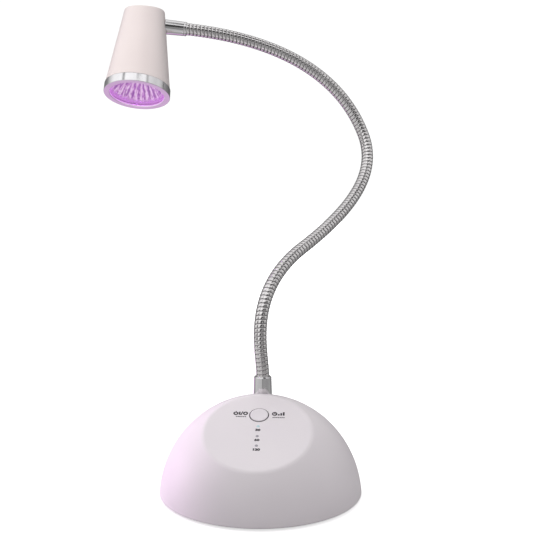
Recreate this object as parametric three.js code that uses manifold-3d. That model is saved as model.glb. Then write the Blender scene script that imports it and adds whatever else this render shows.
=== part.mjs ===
// UV curing lamp: a weighted dome base with one button, a bendable metal neck and a small tapered
// lamp head. Millimetres, +Z up. The sloped front of the dome faces -Y, and the origin lies under
// the middle of the foot pad.

import * as THREE from 'three';
import { mergeVertices } from 'three/addons/utils/BufferGeometryUtils.js';
import Module from 'manifold-3d';

const wasm = await Module();
wasm.setup();

// ---------------------------------------------------------------- driving dimensions

const GAP = 0.3; // clearance between pieces that touch
const rad = THREE.MathUtils.degToRad;

// Dome
const DOME_R = 55;
const DOME_CENTRE_Z = -2.2;
const DOME_WALL = 2.4;
const DOME_RIM_Z = 1.2;
const FACET_SLOPE = rad(27.5); // of the flat front facet, from horizontal
const FACET_DISTANCE = 47.1; // from the dome's centre to the facet
const FACET_EDGE_R = 5; // rounding between facet and dome

// Foot and base plate
const PAD_R = 50;
const PAD_TOP = 1.6;
const PLATE_R = 51.8;
const PLATE_BOTTOM = PAD_TOP + GAP;
const PLATE_TOP = 4.4;
const PLATE_SCREW_OFFSET = 31; // of each corner screw, in X and in Y
const CUP_TOP = 8; // of the cups that hold the corner screws
const CUP_OUTER_R = 5;
const RECESS_R = 3.4;
const RECESS_TOP = 5.4; // where the head of a corner screw bears
const BALLAST_R = 38;
const BALLAST_TOP = 10.7;
const BALLAST_SCREW = [20, -12];
const POST_TOP = 13;
const POSTS = [[-14, 25], [14, 25], [-14, 40.5], [14, 40.5]];
const POST_R = 2.8;
const PILOT_R = 1.3;
const HOLE_R = 1.6; // clearance hole for a screw

// Screws: head radius, head height, shank radius, length
const BALLAST_SCREW_SIZE = [3, 1.6, 1.25, 8.4];
const PLATE_SCREW_SIZE = [3, 1.6, 1.25, 11];
const BOARD_SCREW_SIZE = [2.4, 1.3, 1, 6.5];
const CONTROL_SCREW_SIZE = [2, 1.1, 0.8, 6];
const SINK_SCREW_SIZE = [1.9, 0.6, 0.9, 4.3];

// Electronics in the base
const BOARD_T = 1.6;
const USB_WIDTH = 9;
const USB_HEIGHT = 3.2;
const USB_MOUTH_Y = 50.6;
const USB_LENGTH = 7.4;
const USB_WALL = 0.35;
const BUTTON_V = 12.3; // up the facet from its centre
const BUTTON_R = 4.75;
const BUTTON_SLOT = 0.3; // visible gap round the button
const BUTTON_FLANGE_R = 6.5;
const PLUNGER_R = 1.5;
const WINDOW_VS = [3.7, -3.6, -10.4];
const WINDOW_R = 0.5;
const CONTROL_BOARD_DEPTH = 10; // below the facet
const CONTROL_SCREW = [12, -2];
const CONTROL_PILOT_R = 1.1;

// Neck
const NECK_Y = 17.5;
const NECK_R = 3.5;
const NECK_BORE_R = 1.8;
const NECK_TUCK = 6; // length hidden in each ferrule
const NECK_LINKS = 9;
const NECK_SIDES = 12;
const BALL_R = 3.2;
const CUP_R = BALL_R + GAP;
const LINK_SLOT = 1.5; // gap between the rims of two links, at rest
const LEAD_R = 1.1;
const LEAD_SIDES = 6;
const LEAD_BREAK = 2; // from the end of a length of lead to the pivot ahead of it
const SOCKET_R = NECK_R + GAP + 0.05; // of the bore in a ferrule that takes the neck
const SOCKET_DEPTH = NECK_TUCK + 0.5;
const NECK_NODES = [
  { at: [0, NECK_Y, 61], pull: [0, 0, 13] },
  { at: [21.5, 49, 131], pull: [31.5, 32, 23.5] },
  { at: [60, 100.5, 203], pull: [-9.5, 3.5, 25] },
  { at: [-51.5, 79, 266.5], pull: [-76, -12, 6.5] },
];
const NECK_PLANE = new THREE.Vector3(0.365, -0.862, 0.349); // normal of the plane the S lies near
const FERRULE_SEAT_Z = 47.8;
const FERRULE_BOSS_Z = 43.5;
const FERRULE_FOOT_R = 5.3;
const FERRULE_NECK_R = 4.95;
const FERRULE_TIP_R = 4.3;
const FERRULE_TOP_Z = 60.3;
const FERRULE_TAIL_R = 3.8;
const FERRULE_TAIL_Z = 37.5;

// Head, measured up its own axis from the front of the bezel
const HEAD_ROLL = rad(16.8); // of the head about its ferrule
const HEAD_REACH = 26.8; // from the end of the neck to the head's axis
const FERRULE_HEIGHT = 47.7;
const HEAD_LENGTH = 58.2; // along its axis, up to the slanted top
const TOP_SLANT = rad(20); // the top is lower in front
const TOP_TURN = rad(-9); // of the slant about the axis
const HEAD_MOUTH_R = 19.6;
const HEAD_TAPER = 0.14; // change of radius with height
const HEAD_WALL = 1.8;
const HEAD_EDGE_R = 2.5;
const SHOULDER = 5.3; // where the head shell meets the bezel
const SPIGOT_R = 18.6;
const SPIGOT_BORE_R = 17.1;
const SPIGOT_END = 3.6;
const BEZEL_R = 20.2;
const BEZEL_HEIGHT = 5;
const BEZEL_OPENING_R = 16.4;
const LENS = { r: 18.5, bottom: 1.4, top: 2.6 };
const REFLECTOR_BACK = 16.9;
const REFLECTOR_BACK_R = 3.2;
const LEDGE = { r: 13.6, bottom: 23.3, top: 25 };
const SEAT_X = 12.9; // from the head's axis to the seat of its ferrule
const BOSS_X = 10.7;
const SIDE_FOOT_R = 4.55; // of the head's ferrule
const SIDE_TIP_R = 3.95;
const SIDE_TAIL_R = 3;
const SIDE_TAIL_X = 6.5;
const LED_BOARD = { r: 9.5, bottom: 18.5, top: 19.7 };
const LED_WIDTH = 3.4;
const LED_DOME_R = 1.5;
const HEAT_SINK_BOTTOM = LED_BOARD.top + GAP;
const HEAT_SINK_TOP = 33;
const FIN_HEIGHTS = [25, 28, 31];
const FIN_R = 12.8;
const SINK_HOLE_R = 1.2;
const SINK_SCREW_XS = [-6.5, 6.5];

// ---------------------------------------------------------------- materials

const material = (color, roughness, metalness) =>
  new THREE.MeshStandardMaterial({ color, roughness, metalness });

const WHITE_PLASTIC = material(0xf1eeee, 0.42, 0);
const WARM_WHITE = material(0xeee6e3, 0.4, 0);
const BUTTON_WHITE = material(0xe9e6ea, 0.38, 0);
const INNER_PLASTIC = material(0xd8d8d6, 0.55, 0);
const CHROME = material(0xd6d4d6, 0.12, 1);
const NECK_CHROME = material(0xb9b8b8, 0.22, 1);
const STEEL = material(0x9a9c9f, 0.35, 1);
const ALUMINIUM = material(0xc3c6c9, 0.3, 1);
const MIRROR = material(0xe8e0f2, 0.06, 1);
const RUBBER = material(0x2b2b2d, 0.9, 0);
const GREEN_BOARD = material(0x1f6b45, 0.5, 0);
const BLACK_PLASTIC = material(0x202124, 0.5, 0);
const CLEAR = material(0xf3ecfa, 0.05, 0);
const LED_YELLOW = material(0xe6dc8a, 0.3, 0);
const LEAD_GREY = material(0x8a8c90, 0.6, 0);

// ---------------------------------------------------------------- shape helpers

// A turned solid about +Z from [radius, height] points, counter-clockwise with the axis on the
// left. A profile that does not end on the axis closes on itself.
function turned(points, segments = 20) {
  const onAxis = points[0][0] === 0 && points.at(-1)[0] === 0;
  const loop = onAxis ? points : [...points, points[0]];
  const profile = loop.map(([r, z]) => new THREE.Vector2(r, z));
  return new THREE.LatheGeometry(profile, segments).rotateX(Math.PI / 2);
}

const disc = (r, bottom, top, segments) =>
  turned([[0, bottom], [r, bottom], [r, top], [0, top]], segments);

const ring = (inner, outer, bottom, top, segments) =>
  turned([[outer, bottom], [outer, top], [inner, top], [inner, bottom]], segments);

// Points of an arc in a profile, from one angle to another in degrees.
function arc(r, z, radius, from, to, steps) {
  return Array.from({ length: steps + 1 }, (_, i) => {
    const angle = rad(from + ((to - from) * i) / steps);
    return [r + radius * Math.cos(angle), z + radius * Math.sin(angle)];
  });
}

// A box given by its centre in X and Y and its two heights.
function block(x, y, bottom, top, width, depth) {
  const height = top - bottom;
  return new THREE.BoxGeometry(width, depth, height).translate(x, y, bottom + height / 2);
}

// An outline of two half circles and two straights, extruded up +Z.
function slotPrism(width, height, length, segments = 6) {
  const r = height / 2;
  const shape = new THREE.Shape();
  shape.absarc(width / 2 - r, 0, r, -Math.PI / 2, Math.PI / 2);
  shape.absarc(r - width / 2, 0, r, Math.PI / 2, (3 * Math.PI) / 2);
  return new THREE.ExtrudeGeometry(shape, {
    depth: length,
    bevelEnabled: false,
    curveSegments: segments,
  });
}

function prism(outline, bottom, top) {
  const shape = new THREE.Shape(outline.map(([x, y]) => new THREE.Vector2(x, y)));
  const geometry = new THREE.ExtrudeGeometry(shape, { depth: top - bottom, bevelEnabled: false });
  return geometry.translate(0, 0, bottom);
}

// A surface through round sections. Each section has a centre, two unit vectors across it and a
// radius. A closed loft joins its last section to its first, an open one gets flat ends.
function loft(sections, sides, closed) {
  const points = [];
  for (const { centre, across, over, r } of sections) {
    for (let i = 0; i < sides; i++) {
      const angle = (2 * Math.PI * i) / sides;
      const point = centre.clone();
      point.addScaledVector(across, r * Math.cos(angle));
      point.addScaledVector(over, r * Math.sin(angle));
      points.push(...point);
    }
  }
  const faces = [];
  const rows = closed ? sections.length : sections.length - 1;
  const index = (row, i) => (row % sections.length) * sides + (i % sides);
  for (let row = 0; row < rows; row++) {
    for (let i = 0; i < sides; i++) {
      const [a, b] = [index(row, i), index(row, i + 1)];
      const [c, d] = [index(row + 1, i + 1), index(row + 1, i)];
      faces.push(a, b, c, a, c, d);
    }
  }
  if (!closed) {
    for (let i = 1; i < sides - 1; i++) {
      faces.push(index(0, 0), index(0, i + 1), index(0, i));
      faces.push(index(rows, 0), index(rows, i), index(rows, i + 1));
    }
  }
  const geometry = new THREE.BufferGeometry();
  geometry.setAttribute('position', new THREE.Float32BufferAttribute(points, 3));
  geometry.setIndex(faces);
  geometry.computeVertexNormals();
  return geometry;
}

// ---------------------------------------------------------------- boolean helpers

function solid(geometry) {
  const bare = geometry.clone();
  bare.deleteAttribute('normal');
  bare.deleteAttribute('uv');
  const merged = mergeVertices(bare, 1e-4);
  return new wasm.Manifold(new wasm.Mesh({
    numProp: 3,
    vertProperties: merged.attributes.position.array,
    triVerts: new Uint32Array(merged.index.array),
  }));
}

const joined = (...geometries) => geometries.map(solid).reduce((all, next) => all.add(next));

function cut(body, ...cutters) {
  return cutters.map(solid).reduce((rest, cutter) => rest.subtract(cutter), body);
}

function geometryOf(manifold) {
  const mesh = manifold.getMesh();
  const geometry = new THREE.BufferGeometry();
  geometry.setAttribute('position', new THREE.BufferAttribute(mesh.vertProperties, 3));
  geometry.setIndex(new THREE.BufferAttribute(mesh.triVerts, 1));
  geometry.computeVertexNormals();
  return geometry;
}

// ---------------------------------------------------------------- frames

const lamp = new THREE.Group();

function framedGroup(origin, x, y, z) {
  const group = new THREE.Group();
  group.position.copy(origin);
  group.quaternion.setFromRotationMatrix(new THREE.Matrix4().makeBasis(x, y, z));
  group.updateMatrix();
  lamp.add(group);
  return group;
}

// The facet's own frame: X to the right, Y up the slope, Z straight out of the facet.
const facetNormal = new THREE.Vector3(0, -Math.sin(FACET_SLOPE), Math.cos(FACET_SLOPE));
const facetUp = new THREE.Vector3(0, Math.cos(FACET_SLOPE), Math.sin(FACET_SLOPE));
const domeCentre = new THREE.Vector3(0, 0, DOME_CENTRE_Z);
const facetCentre = domeCentre.clone().addScaledVector(facetNormal, FACET_DISTANCE);
const facet = framedGroup(facetCentre, new THREE.Vector3(1, 0, 0), facetUp, facetNormal);

function place(parent, name, geometry, finish, x = 0, y = 0, z = 0) {
  const mesh = new THREE.Mesh(geometry, finish);
  mesh.name = name;
  mesh.position.set(x, y, z);
  parent.add(mesh);
}

// The neck's centre line, with a straight piece tucked into each ferrule.
function neckLine() {
  const nodes = NECK_NODES.map(({ at, pull }) => ({
    at: new THREE.Vector3(...at),
    pull: new THREE.Vector3(...pull),
  }));
  const beyond = ({ at, pull }, distance) =>
    at.clone().addScaledVector(pull.clone().normalize(), distance);
  const [first, last] = [nodes[0], nodes.at(-1)];
  const line = new THREE.CurvePath();
  line.add(new THREE.LineCurve3(beyond(first, -NECK_TUCK), first.at));
  for (let i = 1; i < nodes.length; i++) {
    const [a, b] = [nodes[i - 1], nodes[i]];
    const [leave, arrive] = [a.at.clone().add(a.pull), b.at.clone().sub(b.pull)];
    line.add(new THREE.CubicBezierCurve3(a.at, leave, arrive, b.at));
  }
  line.add(new THREE.LineCurve3(last.at, beyond(last, NECK_TUCK)));
  return line;
}

const neck = neckLine();
const neckLength = neck.getLength();

// The section of the neck at a distance along it: its centre, its direction, and the axes of its
// two ways to bend, in the plane of the S and out of it.
function neckSection(distance) {
  const along = neck.getTangent(distance / neckLength);
  const across = NECK_PLANE.clone().addScaledVector(along, -NECK_PLANE.dot(along)).normalize();
  const over = new THREE.Vector3().crossVectors(along, across);
  return { centre: neck.getPoint(distance / neckLength), along, across, over };
}

// The head's own frame: Z up its axis from the front of the bezel, X out along the ferrule.
const neckEnd = NECK_NODES.at(-1);
const intoHead = new THREE.Vector3(...neckEnd.pull).normalize();
const upright = new THREE.Vector3(0, 0, 1).addScaledVector(intoHead, -intoHead.z).normalize();
const headUp = upright.applyAxisAngle(intoHead, HEAD_ROLL);
const headOut = intoHead.clone().negate();
const headMouth = new THREE.Vector3(...neckEnd.at)
  .addScaledVector(intoHead, HEAD_REACH)
  .addScaledVector(headUp, -FERRULE_HEIGHT);
const head = framedGroup(
  headMouth,
  headOut,
  new THREE.Vector3().crossVectors(headUp, headOut),
  headUp,
);

// ---------------------------------------------------------------- fasteners

// A pan head screw with a drive recess, its head up and the underside of the head at z = 0.
function screw(headR, headT, shankR, length) {
  return turned([
    [0, -length],
    [shankR * 0.5, -length],
    [shankR, -length + shankR],
    [shankR, 0],
    [headR, 0],
    [headR, headT * 0.6],
    [headR * 0.75, headT],
    [headR * 0.35, headT],
    [0, headT * 0.4],
  ], 10);
}

const hexNut = (acrossFlats, bore, bottom, top) =>
  geometryOf(cut(
    solid(disc(acrossFlats / Math.sqrt(3), bottom, top, 6)),
    disc(bore, bottom - 1, top + 1, 16),
  ));

// ---------------------------------------------------------------- base: foot, plate and ballast

const cornerSpots = [[-1, -1], [1, -1], [-1, 1], [1, 1]].map(([sx, sy]) => [
  sx * PLATE_SCREW_OFFSET,
  sy * PLATE_SCREW_OFFSET,
]);
const ballastSpots = [-1, 1].map((side) => [side * BALLAST_SCREW[0], BALLAST_SCREW[1]]);

function basePlate() {
  const at = (spots, ...size) => spots.map(([x, y]) => disc(...size).translate(x, y, 0));
  const cups = at(cornerSpots, CUP_OUTER_R, PLATE_BOTTOM, CUP_TOP, 16);
  const posts = at(POSTS, POST_R, PLATE_BOTTOM, POST_TOP, 12);
  const recesses = at(cornerSpots, RECESS_R, 0, RECESS_TOP, 16);
  const screwHoles = at(cornerSpots, HOLE_R + GAP, 0, CUP_TOP + 1, 12);
  const ballastHoles = at(ballastSpots, HOLE_R, 0, PLATE_TOP + 1, 12);
  const pilots = at(POSTS, PILOT_R, CUP_TOP - 1, POST_TOP + 1, 12);
  const body = joined(disc(PLATE_R, PLATE_BOTTOM, PLATE_TOP, 44), ...cups, ...posts);
  return geometryOf(cut(body, ...recesses, ...screwHoles, ...ballastHoles, ...pilots));
}

function ballast() {
  const postHoles = POSTS.slice(0, 2).map(([x, y]) =>
    disc(POST_R + 0.5, 0, POST_TOP, 16).translate(x, y, 0));
  const screwHoles = ballastSpots.map(([x, y]) =>
    disc(HOLE_R, 0, POST_TOP, 12).translate(x, y, 0));
  const body = solid(disc(BALLAST_R, PLATE_TOP + GAP, BALLAST_TOP, 40));
  return geometryOf(cut(body, ...postHoles, ...screwHoles));
}

const PAD_EDGE = 0.4;
const padProfile = [
  [0, 0],
  [PAD_R - PAD_EDGE, 0],
  [PAD_R, PAD_EDGE],
  [PAD_R, PAD_TOP],
  [0, PAD_TOP],
];
place(lamp, 'foot_pad', turned(padProfile, 48), RUBBER);
place(lamp, 'base_plate', basePlate(), INNER_PLASTIC);
place(lamp, 'ballast_plate', ballast(), STEEL);
ballastSpots.forEach(([x, y], i) => {
  const downward = screw(...BALLAST_SCREW_SIZE);
  place(lamp, `ballast_screw_${i + 1}`, downward, STEEL, x, y, BALLAST_TOP + GAP);
});
cornerSpots.forEach(([x, y], i) => {
  const upward = screw(...PLATE_SCREW_SIZE).rotateX(Math.PI);
  place(lamp, `plate_screw_${i + 1}`, upward, STEEL, x, y, RECESS_TOP - GAP);
});

// ---------------------------------------------------------------- base: dome shell

// A dome with its flat facet, in the facet's frame, inset from the outside by a wall thickness.
function domeSolid(inset) {
  const r = DOME_R - inset;
  const flat = -inset;
  const centre = -FACET_DISTANCE;
  const edge = FACET_EDGE_R - inset;
  const edgeZ = flat - edge;
  const edgeR = Math.sqrt((r - edge) ** 2 - (edgeZ - centre) ** 2);
  const meet = THREE.MathUtils.radToDeg(Math.atan2(edgeZ - centre, edgeR));
  const profile = [
    [0, centre - r],
    ...arc(0, centre, r, -84, meet, 14),
    ...arc(edgeR, edgeZ, edge, meet, 90, 4).slice(1),
    [0, flat],
  ];
  return turned(profile, 44);
}

function domeShell() {
  const outside = solid(domeSolid(0).applyMatrix4(facet.matrix));
  const inside = domeSolid(DOME_WALL).applyMatrix4(facet.matrix);
  const onFacet = (geometry) => geometry.applyMatrix4(facet.matrix);
  const controlSpots = [-1, 1].map((side) => [side * CONTROL_SCREW[0], CONTROL_SCREW[1]]);
  const bosses = [
    ...cornerSpots.map(([x, y]) => disc(4, CUP_TOP + GAP, 36, 12).translate(x, y, 0)),
    disc(7, FERRULE_BOSS_Z, 60).translate(0, NECK_Y, 0),
    ...controlSpots.map(([u, v]) =>
      onFacet(disc(2.6, GAP - CONTROL_BOARD_DEPTH, -1, 12).translate(u, v, 0))),
  ];
  const mouth = slotPrism(USB_WIDTH + 2 * GAP, USB_HEIGHT + 2 * GAP, 20).rotateX(Math.PI / 2);
  const openings = [
    onFacet(disc(BUTTON_R + BUTTON_SLOT, -8, 2, 28).translate(0, BUTTON_V, 0)),
    ...WINDOW_VS.map((v) => onFacet(disc(WINDOW_R + GAP, -8, 2, 10).translate(0, v, 0))),
    ...controlSpots.map(([u, v]) => onFacet(disc(CONTROL_PILOT_R, -12, -4, 8).translate(u, v, 0))),
    ...cornerSpots.map(([x, y]) => disc(HOLE_R, 0, 18, 10).translate(x, y, 0)),
    disc(FERRULE_TAIL_R + 0.4, 30, 60).translate(0, NECK_Y, 0),
    disc(FERRULE_FOOT_R + GAP, FERRULE_SEAT_Z, 60).translate(0, NECK_Y, 0),
    mouth.translate(0, USB_MOUTH_Y + 10, USB_Z),
    block(0, 0, -80, DOME_RIM_Z, 130, 130),
  ];
  const fitted = bosses.map((boss) => solid(boss).intersect(outside));
  const shell = fitted.reduce((all, boss) => all.add(boss), outside.subtract(solid(inside)));
  return geometryOf(cut(shell, ...openings));
}

// ---------------------------------------------------------------- base: boards and button

const MAIN_BOARD_Z = POST_TOP + GAP;
const USB_Z = MAIN_BOARD_Z + BOARD_T + GAP + USB_HEIGHT / 2;

function mainBoard() {
  const top = MAIN_BOARD_Z + BOARD_T;
  const outline = [[-19, 22], [19, 22], [19, 41], [12, 46.5], [-12, 46.5], [-19, 41]];
  const body = joined(
    prism(outline, MAIN_BOARD_Z, top),
    block(-10, 32, top - 0.5, top + 3, 7, 7),
    block(6, 31, top - 0.5, top + 1.2, 6, 5),
    block(14, 32, top - 0.5, top + 4, 4, 8),
  );
  const holes = POSTS.map(([x, y]) => disc(HOLE_R, 0, 30, 12).translate(x, y, 0));
  return geometryOf(cut(body, ...holes));
}

// A USB-C style receptacle: a flat metal tube with a back and a tongue, its mouth at y = 0.
function usbSocket() {
  const tube = slotPrism(USB_WIDTH, USB_HEIGHT, USB_LENGTH);
  const back = 1.2;
  const tongue = { width: 6.6, thickness: 0.7, length: 5.6 };
  const hollow = slotPrism(USB_WIDTH - 2 * USB_WALL, USB_HEIGHT - 2 * USB_WALL, USB_LENGTH);
  const plate = new THREE.BoxGeometry(tongue.width, tongue.thickness, tongue.length);
  plate.translate(0, 0, USB_LENGTH - back + 0.2 - tongue.length / 2);
  const body = cut(solid(tube), hollow.translate(0, 0, -back)).add(solid(plate));
  return geometryOf(body).rotateX(Math.PI / 2);
}

function controlBoard() {
  const top = -CONTROL_BOARD_DEPTH;
  const [width, depth, middle] = [32, 34, 2];
  const board = block(0, middle, top - BOARD_T, top, width, depth);
  const holes = [-1, 1].map((side) =>
    disc(CONTROL_PILOT_R + 0.1, -20, 0, 12)
      .translate(side * CONTROL_SCREW[0], CONTROL_SCREW[1], 0));
  return geometryOf(cut(solid(board), ...holes));
}

const SWITCH_TOP = -6.7;

function tactSwitch() {
  const width = 6;
  const well = disc(PLUNGER_R + 0.4, SWITCH_TOP - 2.2, 0, 16).translate(0, BUTTON_V, 0);
  const body = block(0, BUTTON_V, GAP - CONTROL_BOARD_DEPTH, SWITCH_TOP, width, width);
  return geometryOf(cut(solid(body), well));
}

function buttonCap() {
  const flange = -DOME_WALL - 0.4;
  return turned([
    [0, flange - 0.9],
    [BUTTON_FLANGE_R, flange - 0.9],
    [BUTTON_FLANGE_R, flange],
    [BUTTON_R, flange],
    [BUTTON_R, -0.3],
    [BUTTON_R - 0.4, 0.1],
    [BUTTON_R * 0.5, 0.3],
    [0, 0.35],
  ], 28);
}

place(lamp, 'base_shell', domeShell(), WHITE_PLASTIC);
place(lamp, 'main_board', mainBoard(), GREEN_BOARD);
place(lamp, 'usb_socket', usbSocket(), STEEL, 0, USB_MOUTH_Y, USB_Z);
POSTS.slice(2).forEach(([x, y], i) => {
  const z = MAIN_BOARD_Z + BOARD_T + GAP;
  place(lamp, `board_screw_${i + 1}`, screw(...BOARD_SCREW_SIZE), STEEL, x, y, z);
});

place(facet, 'control_board', controlBoard(), GREEN_BOARD);
[-1, 1].forEach((side, i) => {
  const [u, v] = [side * CONTROL_SCREW[0], CONTROL_SCREW[1]];
  const z = -CONTROL_BOARD_DEPTH - BOARD_T - GAP;
  const upward = screw(...CONTROL_SCREW_SIZE).rotateX(Math.PI);
  place(facet, `control_screw_${i + 1}`, upward, STEEL, u, v, z);
});
place(facet, 'tact_switch', tactSwitch(), BLACK_PLASTIC);
place(facet, 'button_cap', buttonCap(), BUTTON_WHITE, 0, BUTTON_V, 0);
place(facet, 'button_plunger', disc(PLUNGER_R, -7.6, -4, 16), BLACK_PLASTIC, 0, BUTTON_V, 0);
WINDOW_VS.forEach((v, i) => {
  const seat = GAP - CONTROL_BOARD_DEPTH;
  const led = block(0, 0, seat, seat + 0.8, 2, 1.4);
  place(facet, `status_led_${i + 1}`, led, LED_YELLOW, 0, v, 0);
  place(facet, `indicator_window_${i + 1}`, disc(WINDOW_R, -8.4, 0, 12), CLEAR, 0, v, 0);
});

// ---------------------------------------------------------------- neck

const base = NECK_NODES[0].at;

function baseFerrule() {
  const floor = base[2] - SOCKET_DEPTH;
  return turned([
    [FERRULE_TAIL_R, FERRULE_TAIL_Z],
    [FERRULE_TAIL_R, FERRULE_SEAT_Z + GAP],
    [FERRULE_FOOT_R, FERRULE_SEAT_Z + GAP],
    [FERRULE_NECK_R, FERRULE_TOP_Z - 0.6],
    [FERRULE_TIP_R, FERRULE_TOP_Z],
    [SOCKET_R, FERRULE_TOP_Z],
    [SOCKET_R, floor],
    [NECK_BORE_R, floor],
    [NECK_BORE_R, FERRULE_TAIL_Z],
  ], 24);
}

// One link of the neck: a bent tube from one pivot to the next. Its lower end is a cup over the
// ball of the link below, and its upper end is such a ball. The end links are plain in a ferrule.
function neckLink(start, end, first, last) {
  const from = first ? start : start + LINK_SLOT / 2;
  const to = last ? end : end - LINK_SLOT / 2;
  const steps = 5;
  const tube = Array.from({ length: steps + 1 }, (_, i) => from + ((to - from) * i) / steps);
  const straight = (pivot, offset, r) => {
    const section = neckSection(pivot);
    return { ...section, centre: section.centre.addScaledVector(section.along, offset), r };
  };
  const onSphere = (sphereR, offset) => Math.sqrt(sphereR ** 2 - offset ** 2);
  const ballTip = onSphere(BALL_R, NECK_BORE_R);
  const cupTop = onSphere(CUP_R, NECK_BORE_R);
  const rim = LINK_SLOT / 2;
  const ball = [-rim, 0.8, 2, ballTip].map((offset) =>
    straight(end, offset, onSphere(BALL_R, offset)));
  const cup = [cupTop, 1.9, rim].map((offset) =>
    straight(start, offset, onSphere(CUP_R, offset)));
  const bore = tube.slice(first ? 0 : 1, last ? undefined : -1).reverse();
  return loft([
    ...tube.map((s) => ({ ...neckSection(s), r: NECK_R })),
    ...(last ? [] : ball),
    ...bore.map((s) => ({ ...neckSection(s), r: NECK_BORE_R })),
    ...(first ? [] : cup),
  ], NECK_SIDES, true);
}

// The lead inside one link, clear of the ball that swings in the link's cup.
function neckLead(start, end) {
  const steps = 5;
  return loft(Array.from({ length: steps + 1 }, (_, i) => {
    const distance = start + ((end - start) * i) / steps;
    return { ...neckSection(distance), r: LEAD_R };
  }), LEAD_SIDES, false);
}

place(lamp, 'base_ferrule', baseFerrule(), CHROME, base[0], base[1], 0);
place(lamp, 'neck_washer', ring(4.1, 7, 42.2, 43.2), STEEL, base[0], base[1], 0);
place(lamp, 'neck_nut', hexNut(11, 4.1, 38.4, 41.9), STEEL, base[0], base[1], 0);

const pivotAt = (i) => (neckLength * i) / NECK_LINKS;
for (let i = 0; i < NECK_LINKS; i++) {
  const [start, end] = [pivotAt(i), pivotAt(i + 1)];
  const [first, last] = [i === 0, i === NECK_LINKS - 1];
  place(lamp, `neck_link_${i + 1}`, neckLink(start, end, first, last), NECK_CHROME);
  place(lamp, `lamp_lead_${i + 1}`, neckLead(start + CUP_R, end - LEAD_BREAK), LEAD_GREY);
}

// ---------------------------------------------------------------- head

// A shape turned about +Z is laid along the head's X, at the ferrule's height.
const alongFerrule = (geometry) => geometry.rotateY(Math.PI / 2).translate(0, 0, FERRULE_HEIGHT);

function headFerrule() {
  const end = HEAD_REACH;
  const waist = 4.25;
  const collar = 4.3;
  return alongFerrule(turned([
    [SIDE_TAIL_R, SIDE_TAIL_X],
    [SIDE_TAIL_R, SEAT_X + GAP],
    [SIDE_FOOT_R, SEAT_X + GAP],
    [waist, end - 1.8],
    [collar, end - 1.2],
    [collar, end - 0.5],
    [SIDE_TIP_R, end],
    [SOCKET_R, end],
    [SOCKET_R, end - SOCKET_DEPTH],
    [NECK_BORE_R, end - SOCKET_DEPTH],
    [NECK_BORE_R, SIDE_TAIL_X],
  ], 20));
}

const headR = (h) => HEAD_MOUTH_R - HEAD_TAPER * (h - SHOULDER);

// The head from a height up: a cone with a slanted top and a rounded rim, inset from the outside.
function headCone(bottom, inset) {
  const [segments, arcSteps] = [36, 4];
  const edge = HEAD_EDGE_R - inset;
  const points = [];
  for (let i = 0; i < segments; i++) {
    const angle = (2 * Math.PI * i) / segments;
    const rise = Math.tan(TOP_SLANT) * Math.sin(angle - TOP_TURN);
    const top = HEAD_LENGTH - HEAD_EDGE_R * Math.hypot(1, rise);
    const r = (headR(top) - HEAD_EDGE_R) / (1 + HEAD_TAPER * rise);
    const h = top + rise * r;
    const add = (radius, height) =>
      points.push([radius * Math.cos(angle), radius * Math.sin(angle), height]);
    add(headR(bottom) - inset, bottom);
    for (let k = 0; k <= arcSteps; k++) {
      const turn = ((Math.PI / 2 + Math.atan(rise)) * k) / arcSteps;
      add(r + edge * Math.cos(turn), h + edge * Math.sin(turn));
    }
  }
  return wasm.Manifold.hull(points);
}

function headShell() {
  const boreTop = 9;
  const outside = headCone(SHOULDER, 0);
  const ledge = ring(LEDGE.r, HEAD_MOUTH_R, LEDGE.bottom, LEDGE.top, 36);
  const cavity = headCone(boreTop, HEAD_WALL)
    .subtract(solid(ledge))
    .add(solid(disc(SPIGOT_BORE_R, SPIGOT_END - 1, boreTop + 0.1, 36)));
  const spigot = solid(disc(SPIGOT_R, SPIGOT_END, SHOULDER + 1, 36));
  const boss = solid(alongFerrule(disc(6, BOSS_X, SEAT_X + 0.1))).intersect(outside);
  return geometryOf(cut(
    outside.add(spigot).subtract(cavity).add(boss),
    alongFerrule(disc(SIDE_TAIL_R + GAP, 5, 20, 20)),
    alongFerrule(disc(SIDE_FOOT_R + GAP, SEAT_X, 20)),
  ));
}

function bezel() {
  const edge = 0.4;
  const bore = LENS.r + GAP + 0.1;
  return turned([
    [BEZEL_OPENING_R, 0],
    [BEZEL_R - edge, 0],
    [BEZEL_R, edge],
    [BEZEL_R - 0.1, BEZEL_HEIGHT],
    [bore, BEZEL_HEIGHT],
    [bore, LENS.bottom - GAP],
    [BEZEL_OPENING_R, LENS.bottom - GAP],
  ], 36);
}

// A deep parabolic cup that opens downwards, with a collar round the emitter at its back.
function reflector() {
  const [mouthR, backR, front, wall] = [15.9, REFLECTOR_BACK_R, LENS.top + GAP, 0.9];
  const steps = 6;
  const curve = (offset) => Array.from({ length: steps + 1 }, (_, i) => {
    const share = i / steps; // from the back to the front
    const r = Math.sqrt(backR ** 2 + (mouthR ** 2 - backR ** 2) * share);
    return [r + offset, REFLECTOR_BACK + (front - REFLECTOR_BACK) * share];
  });
  return turned([
    ...curve(wall).reverse(),
    [backR + wall, REFLECTOR_BACK + 1.3],
    [backR, REFLECTOR_BACK + 1.3],
    ...curve(0),
  ], 28);
}

function ledBoard() {
  const holes = SINK_SCREW_XS.map((x) => disc(SINK_HOLE_R, 0, 30, 12).translate(x, 0, 0));
  return geometryOf(cut(solid(disc(LED_BOARD.r, LED_BOARD.bottom, LED_BOARD.top, 24)), ...holes));
}

function ledEmitter() {
  const top = LED_BOARD.bottom - GAP;
  const [domeBase, domeTop] = [top - 0.9, top - 0.5];
  const dome = turned([
    ...arc(0, domeBase, LED_DOME_R, -90, 0, 4),
    [LED_DOME_R, domeTop],
    [0, domeTop],
  ], 16);
  return geometryOf(joined(block(0, 0, domeBase, top, LED_WIDTH, LED_WIDTH), dome));
}

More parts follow.
